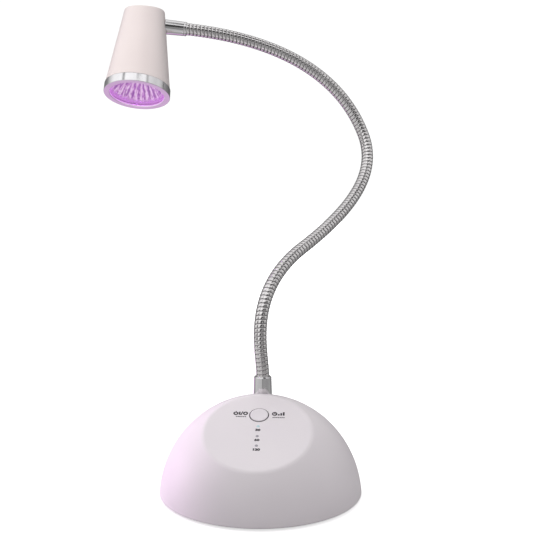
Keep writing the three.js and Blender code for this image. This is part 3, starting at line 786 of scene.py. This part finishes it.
def button():
    """A flush cap with a slight dish, its flange hidden under the facet."""
    flange = -DOME_WALL - 0.4
    dish_r, crown, depth = BUTTON_R - 1.0, 0.3, 0.16
    points = [
        (0, flange - 0.9), (BUTTON_FLANGE_R, flange - 0.9), (BUTTON_FLANGE_R, flange),
        (BUTTON_R, flange), (BUTTON_R, 0.28), (dish_r, crown),
    ]
    points += [(r, crown - depth * (1 - (r / dish_r) ** 2)) for r in (3.2, 2.4, 1.6, 0.8, 0)]
    shape = turned(rounded(points, 0.16, 5, sharp=range(5, 12)))
    piece("push_button", shape, BUTTON_WHITE, "button", ["button_cap"],
          AT_BUTTON)


def button_gap_shade():
    """A dark rubber ring in the slot round the button, put there as painted shade for the shadow
    down the gap.
    """
    inner, outer = BUTTON_R + 0.04, BUTTON_HOLE_R - 0.02
    low, high, crown = -0.9, -0.12, -0.04
    points = [(inner, low), (outer, low), (outer, high), ((inner + outer) / 2, crown),
              (inner, high)]
    shape = turned(rounded(points, 0.06, 3, closed=True), closed=True)
    piece("button_gap_shade", shape, RUBBER, "base", matrix=AT_BUTTON)


def windows():
    """The ends of three light pipes, slightly crowned."""
    foot_z = -8.4
    crown = arc(0, -2.3, 2.45, 70, 90, 4)
    side = rounded([(0, foot_z), (WINDOW_R, foot_z), (WINDOW_R, -0.02)], 0.1, 2)
    for i, v in enumerate(WINDOW_VS):
        lit = WINDOW_ON if i == 0 else WINDOW_OFF
        piece(f"light_pipe_{i + 1}", turned(side + crown, 32), lit, "base",
              [f"indicator_window_{i + 1}"], FACET @ shift(0, v, 0))


def flat_ring(r, width, start=0.0, end=360.0, steps=40):
    """A printed ring or arc, a closed sliver of ink."""
    outer, inner = r + width / 2, r - width / 2
    if end - start >= 360:
        section = [(inner, 0), (outer, 0), (outer, INK_T), (inner, INK_T)]
        return turned(section, steps, closed=True)
    outline = arc(0, 0, outer, start, end, steps) + arc(0, 0, inner, end, start, steps)
    return extruded(outline, 0, INK_T)


def bar(x0, y0, x1, y1, width):
    """A straight printed stroke."""
    start, end = Vector((x0, y0)), Vector((x1, y1))
    side = (end - start).orthogonal().normalized() * width / 2
    outline = [start - side, end - side, end + side, start + side]
    return extruded([tuple(p) for p in outline], 0, INK_T)


def power_mark():
    """The standby sign, and the line and ring that stand for on and off."""
    standby = joined(flat_ring(1.0, 0.74, 125, 415, 32), bar(0, 0.3, 0, 1.6, 0.68))
    on = bar(2.0, -1.1, 2.0, 1.2, 0.8)
    stroke = bar(2.7, -1.3, 3.6, 1.4, 0.58)
    off = moved(flat_ring(0.95, 0.74), shift(5.1, 0, 0))
    return joined(standby, on, stroke, off)


def clock_mark():
    """A clock face, and three bars for its steps."""
    clock = joined(flat_ring(1.1, 0.66), bar(0, -0.1, 0, 0.8, 0.44), bar(-0.1, 0, 0.62, 0, 0.44))
    steps = [bar(2.2 + 1.3 * i, -1.2, 2.2 + 1.3 * i, -0.1 + 0.75 * i, 0.9) for i in range(3)]
    return joined(clock, *steps)


def dashes(u, v, width, count):
    """A row of short strokes in place of small print."""
    pitch = width / count
    return joined(*(bar(u + pitch * i, v, u + pitch * (i + 0.7), v, 0.6) for i in range(count)))


def numeral(text, size, u, v):
    """A number as a thin mesh from Blender's own font, a little wide."""
    curve = bpy.data.curves.new("numeral", "FONT")
    curve.body = text
    curve.size = size
    curve.align_x = "CENTER"
    curve.align_y = "CENTER"
    curve.resolution_u = 3
    curve.offset = 0.12
    holder = linked("numeral", curve)
    work = bmesh.new()
    work.from_mesh(evaluated_mesh(holder))
    bmesh.ops.remove_doubles(work, verts=work.verts, dist=1e-4)
    solid = bmesh.ops.extrude_face_region(work, geom=work.faces[:])["geom"]
    for vert in (g for g in solid if isinstance(g, bmesh.types.BMVert)):
        vert.co.z = INK_T
    work.verts.index_update()
    verts = [(NUMERAL_STRETCH * p.co.x + u, p.co.y + v, p.co.z) for p in work.verts]
    faces = [[p.index for p in f.verts] for f in work.faces]
    work.free()
    bpy.data.objects.remove(holder)
    return verts, faces


def panel_print():
    """Plain pictograms for power and timer, and the timer's numbers under the lights."""
    marks = [
        moved(power_mark(), shift(-12.4, 13.4, 0)),
        moved(clock_mark(), shift(8.2, 13.3, 0)),
        dashes(-12.2, 10.9, 5.6, 6),
        dashes(7.2, 10.5, 6.6, 7),
    ]
    for text, v in zip(("30", "60", "120"), WINDOW_VS):
        marks.append(numeral(text, NUMERAL_SIZE, 0, v - NUMERAL_DROP))
    piece("panel_print", joined(*marks), INK, "base",
          matrix=FACET @ shift(0, 0, INK_LIFT))


def power_inlet():
    """A rear receptacle: a folded steel tube, a tongue and its contacts."""
    wall, bevel, inner_depth = 0.33, 0.12, 6.2
    sections = ((0, -USB_LENGTH), (0, -bevel), (0.08, 0), (0.25, 0), (wall, -bevel),
                (wall, -inner_depth))
    verts = []
    for inset, depth in sections:
        outline = slot_outline(USB_WIDTH - 2 * inset, USB_HEIGHT - 2 * inset)
        verts += [(x, y, depth) for x, y in outline]
    rings = loops(len(sections), len(outline))
    outward = shift(0, USB_MOUTH_Y, USB_Z) @ turn("X", -1)
    piece("inlet_shell", (verts, skin(rings) + [rings[0][::-1], rings[-1]]), STEEL, "base",
          ["usb_socket"], outward)
    tongue_width, tongue_height, tongue_length = 6.5, 0.7, 5.2
    tongue = bevelled(box(0, 0, -3.9, tongue_width, tongue_height, tongue_length), bevel)
    piece("inlet_tongue", tongue, BLACK_PLASTIC, "base", matrix=outward)
    pitch, width, height, length = 0.5, 0.26, 0.06, 3.2
    contacts = [bevelled(box(pitch * (i - 5.5), side * 0.37, -3.2, width, height, length),
                         0.015, 1)
                for i in range(12) for side in (-1, 1)]
    piece("inlet_contacts", joined(*contacts), GOLD, "base", matrix=outward)


def base_ferrule():
    """The tapered socket on the dome, with a rolled lip round the neck."""
    seat, top, floor = FERRULE_SEAT_Z + 0.3, FERRULE_TOP_Z, neck_base.z - SOCKET_DEPTH
    points = [
        (BASE_TAIL_R, BASE_TAIL_Z), (BASE_TAIL_R, seat), (FERRULE_FOOT_R, seat),
        (4.97, top - 0.7), (4.4, top), (SOCKET_LIP_R, top - 0.1), (SOCKET_R, floor),
        (LEAD_HOLE_R, floor), (LEAD_HOLE_R, BASE_TAIL_Z),
    ]
    shape = turned(rounded(points, 0.3, 5, closed=True), closed=True)
    piece("neck_socket", shape, CHROME, "base", ["base_ferrule"], AT_FERRULE)

# ---- neck


class NeckLine:
    """The neck's centre line by arc length, and a frame across it that does not twist."""

    def __init__(self):
        nodes = [(np.array(at, float), np.array(pull, float)) for at, pull in NECK_NODES]
        (start, start_pull), (end, end_pull) = nodes[0], nodes[-1]
        points = [start - NECK_TUCK * unit(start_pull) * (1 - s)
                  for s in np.linspace(0, 1, 40)[:-1]]
        for (a, pull_a), (b, pull_b) in zip(nodes, nodes[1:]):
            p1, p2 = a + pull_a, b - pull_b
            for t in np.linspace(0, 1, 500)[:-1]:
                points.append((1 - t) ** 3 * a + 3 * (1 - t) ** 2 * t * p1
                              + 3 * (1 - t) * t ** 2 * p2 + t ** 3 * b)
        points += [end + NECK_TUCK * unit(end_pull) * s for s in np.linspace(0, 1, 40)]
        self.points = np.array(points)
        steps = np.linalg.norm(np.diff(self.points, axis=0), axis=1)
        self.at = np.concatenate([[0], np.cumsum(steps)])
        self.length = self.at[-1]

    def centre(self, s):
        return np.stack([np.interp(s, self.at, self.points[:, k]) for k in range(3)], -1)

    def frames(self, s):
        """Centres, and two unit vectors across the neck, at each distance along it."""
        step = 0.4
        ahead = self.centre(np.clip(s + step, 0, self.length))
        behind = self.centre(np.clip(s - step, 0, self.length))
        along = unit(ahead - behind)
        plane = np.array(NECK_PLANE)
        across = unit(plane - (along @ plane)[..., None] * along)
        return self.centre(s), across, np.cross(along, across)


NECK = NeckLine()
LINK = NECK.length / NECK_LINKS


def coil_radius(s, angle):
    """A wound strip: rounded turns with a narrow groove between them, rising as a helix."""
    phase = s / NECK_PITCH - angle / (2 * math.pi)
    across = np.abs(2 * (phase - np.floor(phase)) - 1)
    return NECK_R - NECK_GROOVE * (1 - np.sqrt(np.clip(1 - across ** CROWN_POWER, 0, 1)))


def tube_points(s, angle, radius):
    centre, across, over = NECK.frames(s)
    return centre + radius[..., None] * (
        np.cos(angle)[..., None] * across + np.sin(angle)[..., None] * over)


def coil_points(s, angle):
    return tube_points(s, angle, coil_radius(s, angle))


def along_and_round(start, end, rows, sides):
    """The distances and angles of the points on a stretch of tube."""
    return np.meshgrid(np.linspace(start, end, rows + 1),
                       np.linspace(0, 2 * math.pi, sides, endpoint=False), indexing="ij")


def coil_piece(name, start, end):
    """A closed stretch of the wound neck, its normals taken from the shape's own formula so that
    neighbouring stretches join without a seam."""
    rows = round((end - start) / NECK_PITCH * ROWS_PER_TURN)
    s, angle = along_and_round(start, end, rows, COIL_SIDES)
    outer = coil_points(s, angle)
    ds, da = 0.05, 0.02
    along = coil_points(s + ds, angle) - coil_points(s - ds, angle)
    about = coil_points(s, angle + da) - coil_points(s, angle - da)
    normals = unit(np.cross(about, along)).reshape(-1, 3)

    bore_s, bore_angle = along_and_round(start, end, BORE_ROWS, COIL_SIDES)
    inner = tube_points(bore_s, bore_angle, np.full(bore_s.shape, NECK_BORE_R))
    verts = np.concatenate([outer.reshape(-1, 3), inner.reshape(-1, 3)]) * MM
    rings = loops(rows + BORE_ROWS + 2, COIL_SIDES)
    faces = skin(rings[:rows + 1] + rings[:rows:-1], closed=True)
    mesh = new_mesh(name, [tuple(v) for v in verts], faces)
    mesh.materials.append(NECK_CHROME)
    # How far down the groove each point lies, which the neck's material turns into painted shade.
    depth = (NECK_R - coil_radius(s, angle)) / NECK_GROOVE
    shade = mesh.attributes.new("groove", "FLOAT", "POINT")
    shade.data.foreach_set("value", np.concatenate([depth.ravel(), np.ones(bore_s.size)]))
    mesh.polygons.foreach_set("use_smooth", [True] * len(mesh.polygons))
    loop_normals = []
    for polygon in mesh.polygons:
        own = tuple(polygon.normal)
        wound = polygon.index < rows * COIL_SIDES
        loop_normals += [tuple(normals[v]) if wound else own for v in polygon.vertices]
    mesh.normals_split_custom_set(loop_normals)
    return linked(name, mesh)


def lead_piece(name, start, end):
    """A closed stretch of the two-core lead inside the neck, waisted between its cores."""
    s, angle = along_and_round(start, end, LEAD_ROWS, LEAD_SIDES)
    points = tube_points(s, angle, LEAD_R * (0.86 + 0.14 * np.cos(angle) ** 2))
    rings = loops(LEAD_ROWS + 1, LEAD_SIDES)
    faces = skin(rings) + [rings[0][::-1], rings[-1]]
    mesh = new_mesh(name, [tuple(v) for v in points.reshape(-1, 3) * MM], faces)
    return finished(name, mesh, LEAD_SHEATH, None)


def neck_pieces():
    """One stretch of neck and lead per joint, across two links and in place of both."""
    end_gap, lead_gap = 0.4, 0.3
    for i in range(NECK_LINKS - 1):
        start = end_gap if i == 0 else (i + 0.5) * LINK
        end = NECK.length - end_gap if i == NECK_LINKS - 2 else (i + 1.5) * LINK
        coil = coil_piece(f"neck_coil_{i + 1}", start, end)
        lead = lead_piece(f"neck_lead_{i + 1}", start + lead_gap, end - lead_gap)
        for obj, node, slot in ((coil, "neck_link", "neck_chrome"),
                                (lead, "lamp_lead", "lead_sheath")):
            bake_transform(obj)
            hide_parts(f"{node}_{i + 1}", f"{node}_{i + 2}")

# ---- head


def head_r(h):
    return HEAD_MOUTH_R - HEAD_TAPER * (h - SHOULDER)


def head_section(angle):
    """The closed profile of the head's shell at an angle about its axis, under a slanted top."""
    rise = math.tan(TOP_SLANT) * math.sin(angle - TOP_TURN)
    top = HEAD_LENGTH - HEAD_EDGE_R * math.hypot(1, rise)
    r = (head_r(top) - HEAD_EDGE_R) / (1 + HEAD_TAPER * rise)
    h = top + rise * r
    sweep = 90 + math.degrees(math.atan(rise))
    low, inner_low = 12, 9  # heights of the lowest points of the plain wall, outside and inside
    spigot = [(SPIGOT_BORE_R, SPIGOT_END), (SPIGOT_R, SPIGOT_END), (SPIGOT_R, SHOULDER),
              (HEAD_MOUTH_R, SHOULDER), (head_r(low), low)]
    wall = [(head_r(z), z) for z in np.linspace(low + 1, h - 0.8, 9)]
    edge = arc(r, h, HEAD_EDGE_R, 6, sweep, 12)
    reach, crown = edge[-1][0], 0.1
    plate = [(reach * share, HEAD_LENGTH + rise * reach * share + crown * (1 - share ** 2))
             for share in (0.8, 0.6, 0.4, 0.2, 0)]
    ceiling = [(0, HEAD_LENGTH - HEAD_WALL / math.cos(TOP_SLANT))]
    inner = arc(r, h, HEAD_EDGE_R - HEAD_WALL, sweep, 0, 4)
    inner.append((head_r(inner_low) - HEAD_WALL, inner_low))
    return rounded(spigot, 0.18, 3) + wall + edge + plate + ceiling + inner


def head_cover():
    """The head's shell, with a flat seat for the ferrule and a tunnel for its tail."""
    angles = np.linspace(0, 2 * math.pi, 160, endpoint=False)
    sections = [head_section(a) for a in angles]
    verts = [(r * math.cos(a), r * math.sin(a), z)
             for a, section in zip(angles, sections) for r, z in section]
    here = np.arange(len(verts)).reshape(len(angles), -1)
    beside = np.roll(here, -1, 0)
    corners = (here, beside, np.roll(beside, -1, 1), np.roll(here, -1, 1))
    faces = np.stack(corners, -1).reshape(-1, 4).tolist()
    mesh = faced_outward(new_mesh("head", transformed(verts, HEAD), faces), weld=1e-7)
    seat_r, seat_gap, tail_gap = 4.8, 0.25, 0.3
    seat, tunnel = plug(seat_r, HEAD_SEAT - seat_gap, 20), plug(HEAD_TAIL_R + tail_gap, 6, 16, 48)
    mesh = cut_from(mesh, (seat, HEAD_FERRULE), (tunnel, HEAD_FERRULE))
    finished("head_cover", mesh, HEAD_WHITE, "head", ["head_shell"], 30)


def head_ferrule():
    """The socket in the head's side, with a turned collar where the neck goes in."""
    end, floor, collar_r = HEAD_REACH, HEAD_REACH - SOCKET_DEPTH, 4.3
    points = [
        (HEAD_TAIL_R, HEAD_TAIL), (HEAD_TAIL_R, HEAD_SEAT), (4.55, HEAD_SEAT), (4.28, end - 2.0),
        (4.12, end - 1.8), (collar_r, end - 1.5), (collar_r, end - 0.5), (3.95, end),
        (SOCKET_LIP_R, end - 0.15), (SOCKET_R, floor), (LEAD_HOLE_R, floor),
        (LEAD_HOLE_R, HEAD_TAIL),
    ]
    shape = turned(rounded(points, 0.2, 4, closed=True), closed=True)
    piece("head_socket", shape, CHROME, "head", ["head_ferrule"], HEAD_FERRULE)


def bezel():
    """The polished ring: a flat front face, a crisp outer band and a stepped bore."""
    bore, ledge = LENS_R + 0.4, LENS_BOTTOM - 0.3
    points = [
        (BEZEL_OPENING_R, 0.35), (BEZEL_OPENING_R + 0.35, 0), (BEZEL_R - 0.15, 0), (BEZEL_R, 0.2),
        (BEZEL_R - 0.1, BEZEL_HEIGHT), (bore, BEZEL_HEIGHT), (bore, ledge),
        (BEZEL_OPENING_R, ledge),
    ]
    shape = turned(rounded(points, 0.12, 3, closed=True), 144, closed=True)
    piece("bezel_ring", shape, BEZEL_CHROME, "head", ["head_bezel"], HEAD)


def lens():
    points = [(0, LENS_BOTTOM), (LENS_R, LENS_BOTTOM), (LENS_R, LENS_TOP), (0, LENS_TOP)]
    shape = turned(rounded(points, 0.2, 3))
    piece("front_window", shape, CLEAR, "head", ["front_lens"], HEAD)


def reflector():
    """A deep cup of flutes that narrow towards the emitter."""
    front, back_r, mouth_r, wall = LENS_TOP + 0.3, 3.2, 15.9, 0.8
    steps, flute_depth = 26, 0.075
    inner = []
    for share in (i / steps for i in range(steps + 1)):
        r = math.sqrt(back_r ** 2 + (mouth_r ** 2 - back_r ** 2) * share)
        inner.append((r, REFLECTOR_BACK + (front - REFLECTOR_BACK) * share))
    outer = [(r + wall, h) for r, h in inner[-2::-1]]
    brim = [(16.6, front), (16.75, front + 0.15)]
    collar_end = REFLECTOR_BACK + 1.2
    collar = [(back_r + wall, collar_end), (back_r, collar_end)]
    fluted = steps - 1

    def wave(angle, i):
        if not 2 <= i <= fluted:
            return 1
        fade = min(1, (i - 1) / 5) * min(1, (fluted + 1 - i) / 2)
        crease = 1 - abs(math.sin(REFLECTOR_FLUTES * angle / 2))
        return 1 - flute_depth * fade * crease
    shape = turned(inner + brim + outer + collar, 10 * REFLECTOR_FLUTES, closed=True, wave=wave)
    piece("reflector_cup", shape, REFLECTOR, "head", ["reflector"],
          HEAD, sharp=30)


def emitter():
    """The emitter: a square package with a clear dome, lit."""
    width, height, dome_r = 3.4, 0.9, 1.5
    face = EMITTER_TOP - height
    package = bevelled(box(0, 0, EMITTER_TOP - height / 2, width, width, height), 0.15)
    dome = turned(arc(0, face, dome_r, -90, 0, 10) + [(0, face)], 48)
    piece("uv_emitter", joined(package, dome), EMITTER_LIT, "head", ["led_emitter"],
          HEAD)


for make in (dome_cover, foot, button, button_gap_shade, windows, panel_print, power_inlet,
             base_ferrule, neck_pieces, head_cover, head_ferrule, bezel, lens, reflector, emitter):
    make()

# ---- carried-over CAD nodes

KEPT = {
    INNER_PLASTIC: ["base_plate"],
    STEEL: ["ballast_plate", "neck_washer", "neck_nut", "head_nut"]
    + [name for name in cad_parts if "screw" in name],
    BOARD: ["main_board", "control_board"],
    BLACK_PLASTIC: ["tact_switch", "button_plunger"],
    LED_YELLOW: ["status_led_1", "status_led_2", "status_led_3"],
    GASKET: ["lens_gasket"],
    ALUMINIUM: ["led_board", "heat_sink"],
}
for material, names in KEPT.items():
    for name in names:
        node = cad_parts[name]
        node.data.materials.clear()
        node.data.materials.append(material)

# ---- floor, light and camera

# Brightness of what metal mirrors, by its bearing: on the table, round the horizon and half way
# up. 0 and 1 are on the left, a quarter is in front and a half on the right.
TABLE = (
    (0.0, 0.70), (0.12, 0.62), (0.20, 0.60), (0.236, 0.55), (0.25, 0.26), (0.264, 0.26),
    (0.28, 0.38), (0.42, 0.34), (0.55, 0.40), (0.66, 0.16), (0.75, 0.12), (0.79, 0.14),
    (0.812, 0.42), (0.93, 0.40), (1.0, 0.70),
)
HORIZON = (
    (0.0, 0.90), (0.04, 0.90), (0.08, 0.14), (0.13, 0.12), (0.15, 0.85), (0.225, 0.75),
    (0.30, 0.62), (0.35, 0.62), (0.375, 0.08), (0.43, 0.08),
    (0.45, 0.60), (0.52, 0.72), (0.59, 0.28), (0.68, 0.12), (0.92, 0.22), (1.0, 0.86),
)
HALF_WAY_UP = (
    (0.0, 0.90), (0.10, 0.98), (0.119, 0.35), (0.129, 0.35), (0.145, 1.0), (0.385, 0.92),
    (0.399, 0.40), (0.407, 0.40), (0.42, 0.74), (0.50, 0.55), (0.62, 0.42), (0.75, 0.28),
    (0.90, 0.42), (1.0, 0.90),
)
# A dark gap stands in front between two bright fields, and leans to the right with height.
GAP_BEARING = 0.254  # of its middle, at the horizon
GAP_LEAN = 0.14
GAP_INNER = 0.040  # half its width, where it is dark
GAP_OUTER = 0.050  # and where it ends
CROSSING = 0.62  # height at which a bright field crosses it
OVERHEAD = 0.80
MIRRORED_SKY = 1.15
DIFFUSE_SKY = (0.68, 0.665, 0.68)
WHITE = (1, 1, 1)


def floor():
    """White paper for the camera, a grey table for soft light, and for what is shiny a table
    whose brightness goes with its bearing."""
    reach = 12.0
    corners = [(x * reach, y * reach, 0) for x, y in ((-1, -1), (1, -1), (1, 1), (-1, 1))]
    mesh = new_mesh("floor", corners, [(0, 1, 2, 3)])
    nodes = new_material("floor_paper")
    fibre = nodes.noise(300)
    paper = nodes.add("ShaderNodeBsdfPrincipled", {
        "Base Color": nodes.between(fibre, (0.85, 0.85, 0.85), (0.87, 0.87, 0.87)),
        "Roughness": nodes.spread(fibre, 0.88, 0.94),
        "Specular IOR Level": 0.0,
        "Emission Color": WHITE,
        "Emission Strength": 0.62,
    })
    table = nodes.add("ShaderNodeBsdfDiffuse", {"Color": (0.42, 0.41, 0.42)})
    bearing = nodes.bearing(nodes.coordinates())
    mirrored = nodes.add("ShaderNodeEmission", {"Color": nodes.greys(bearing, TABLE)})
    mesh.materials.append(nodes.finish(nodes.by_ray(table, Glossy=mirrored, Camera=paper)))
    obj = linked("floor", mesh)


def studio_world():
    """A white room for the camera, even light for what is matt, and soft bright and dark fields
    for what the metal mirrors."""
    world = bpy.data.worlds.new("studio")
    bpy.context.scene.world = world
    nodes = Nodes(world)
    direction = nodes.coordinates("Generated")
    bearing = nodes.bearing(direction)
    _, _, height = nodes.split(direction)
    lower = nodes.blend(nodes.spread(height, 0, 1, 0.30, 0.52),
                        nodes.greys(bearing, HORIZON), nodes.greys(bearing, HALF_WAY_UP))
    fields = nodes.blend(nodes.spread(height, 0, 1, 0.74, 0.9), lower, (OVERHEAD,) * 3)
    skyline = nodes.spread(nodes.math("ABSOLUTE", height), 0.85, 0, 0.03, 0.07)

    def apart(value, middle):
        return nodes.math("ABSOLUTE", nodes.math("SUBTRACT", value, middle))
    centre = nodes.math("ADD", GAP_BEARING, nodes.math("MULTIPLY", height, GAP_LEAN))
    aside = nodes.math("MULTIPLY", apart(bearing, centre), nodes.spread(height, 1, 0.5, 0, 1))
    gap = nodes.spread(aside, 0.97, 0, GAP_INNER, GAP_OUTER)
    for limit in (nodes.spread(height, 1, 0, 0.94, 0.98),
                  nodes.spread(apart(height, CROSSING), 0, 1, 0.08, 0.10)):
        gap = nodes.math("MULTIPLY", gap, limit)
    fields = nodes.blend(nodes.math("MAXIMUM", skyline, gap), fields, (0.03, 0.03, 0.03))

    def sky(colour, strength):
        return nodes.add("ShaderNodeBackground", {"Color": colour, "Strength": strength})
    rays = nodes.by_ray(sky(DIFFUSE_SKY, 1.0), Glossy=sky(fields, MIRRORED_SKY),
                        Camera=sky(WHITE, 1.05))
    nodes.finish(rays, "ShaderNodeOutputWorld")


def studio_light(name, kind, place, aim, power, colour, size, mirrored=False, spread=180):
    """A soft light. Its size is an angle for a sun and a width for a disc, which can be narrowed
    to a beam by its spread in degrees."""
    light = bpy.data.lights.new(name, kind)
    light.energy = power
    light.color = colour
    if kind == "SUN":
        light.angle = size
    else:
        light.shape = "DISK"
        light.size = size
        light.spread = math.radians(spread)
    obj = linked(name, light)
    obj.location = place
    obj.rotation_euler = (Vector(aim) - Vector(place)).to_track_quat("-Z", "Y").to_euler()
    obj.visible_camera = False
    obj.visible_glossy = mirrored


def lights():
    studio_light("key", "SUN", (-0.5, 0.7, 1.2), (0, 0, 0), 1.36, WHITE, math.radians(50))
    studio_light("violet_fill", "AREA", (-0.23, 0.03, 0.05), (0, 0, 0.03), 0.285,
                 (0.97, 0.65, 1), 0.12)
    studio_light("head_fill", "AREA", (-0.24, -0.56, 0.36), (-0.08, 0.07, 0.25), 0.105,
                 (1, 0.92, 0.92), 0.3, spread=30)
    studio_light("lip_card", "AREA", (-0.165, 0.307, 0.004), (-0.165, 0.307, 1), 0.072,
                 (0.9, 0.19, 0.98), 0.30, mirrored=True)


CAMERA_AZIMUTH = math.radians(4.0)
CAMERA_DISTANCE = 0.420
CAMERA_HEIGHT = 0.1523
CAMERA_PITCH = math.radians(-4.21)
CAMERA_YAW = math.radians(-0.7)
CAMERA_LENS = 52.4


def camera():
    data = bpy.data.cameras.new("camera")
    data.lens = CAMERA_LENS
    data.sensor_width = 36
    data.clip_start = 0.01
    obj = linked("camera", data)
    obj.location = (
        CAMERA_DISTANCE * math.sin(CAMERA_AZIMUTH),
        -CAMERA_DISTANCE * math.cos(CAMERA_AZIMUTH),
        CAMERA_HEIGHT,
    )
    obj.rotation_euler = (math.pi / 2 + CAMERA_PITCH, 0, CAMERA_AZIMUTH + CAMERA_YAW)
    bpy.context.scene.camera = obj


floor()
studio_world()
lights()
camera()
bpy.context.scene.view_settings.view_transform = "Standard"
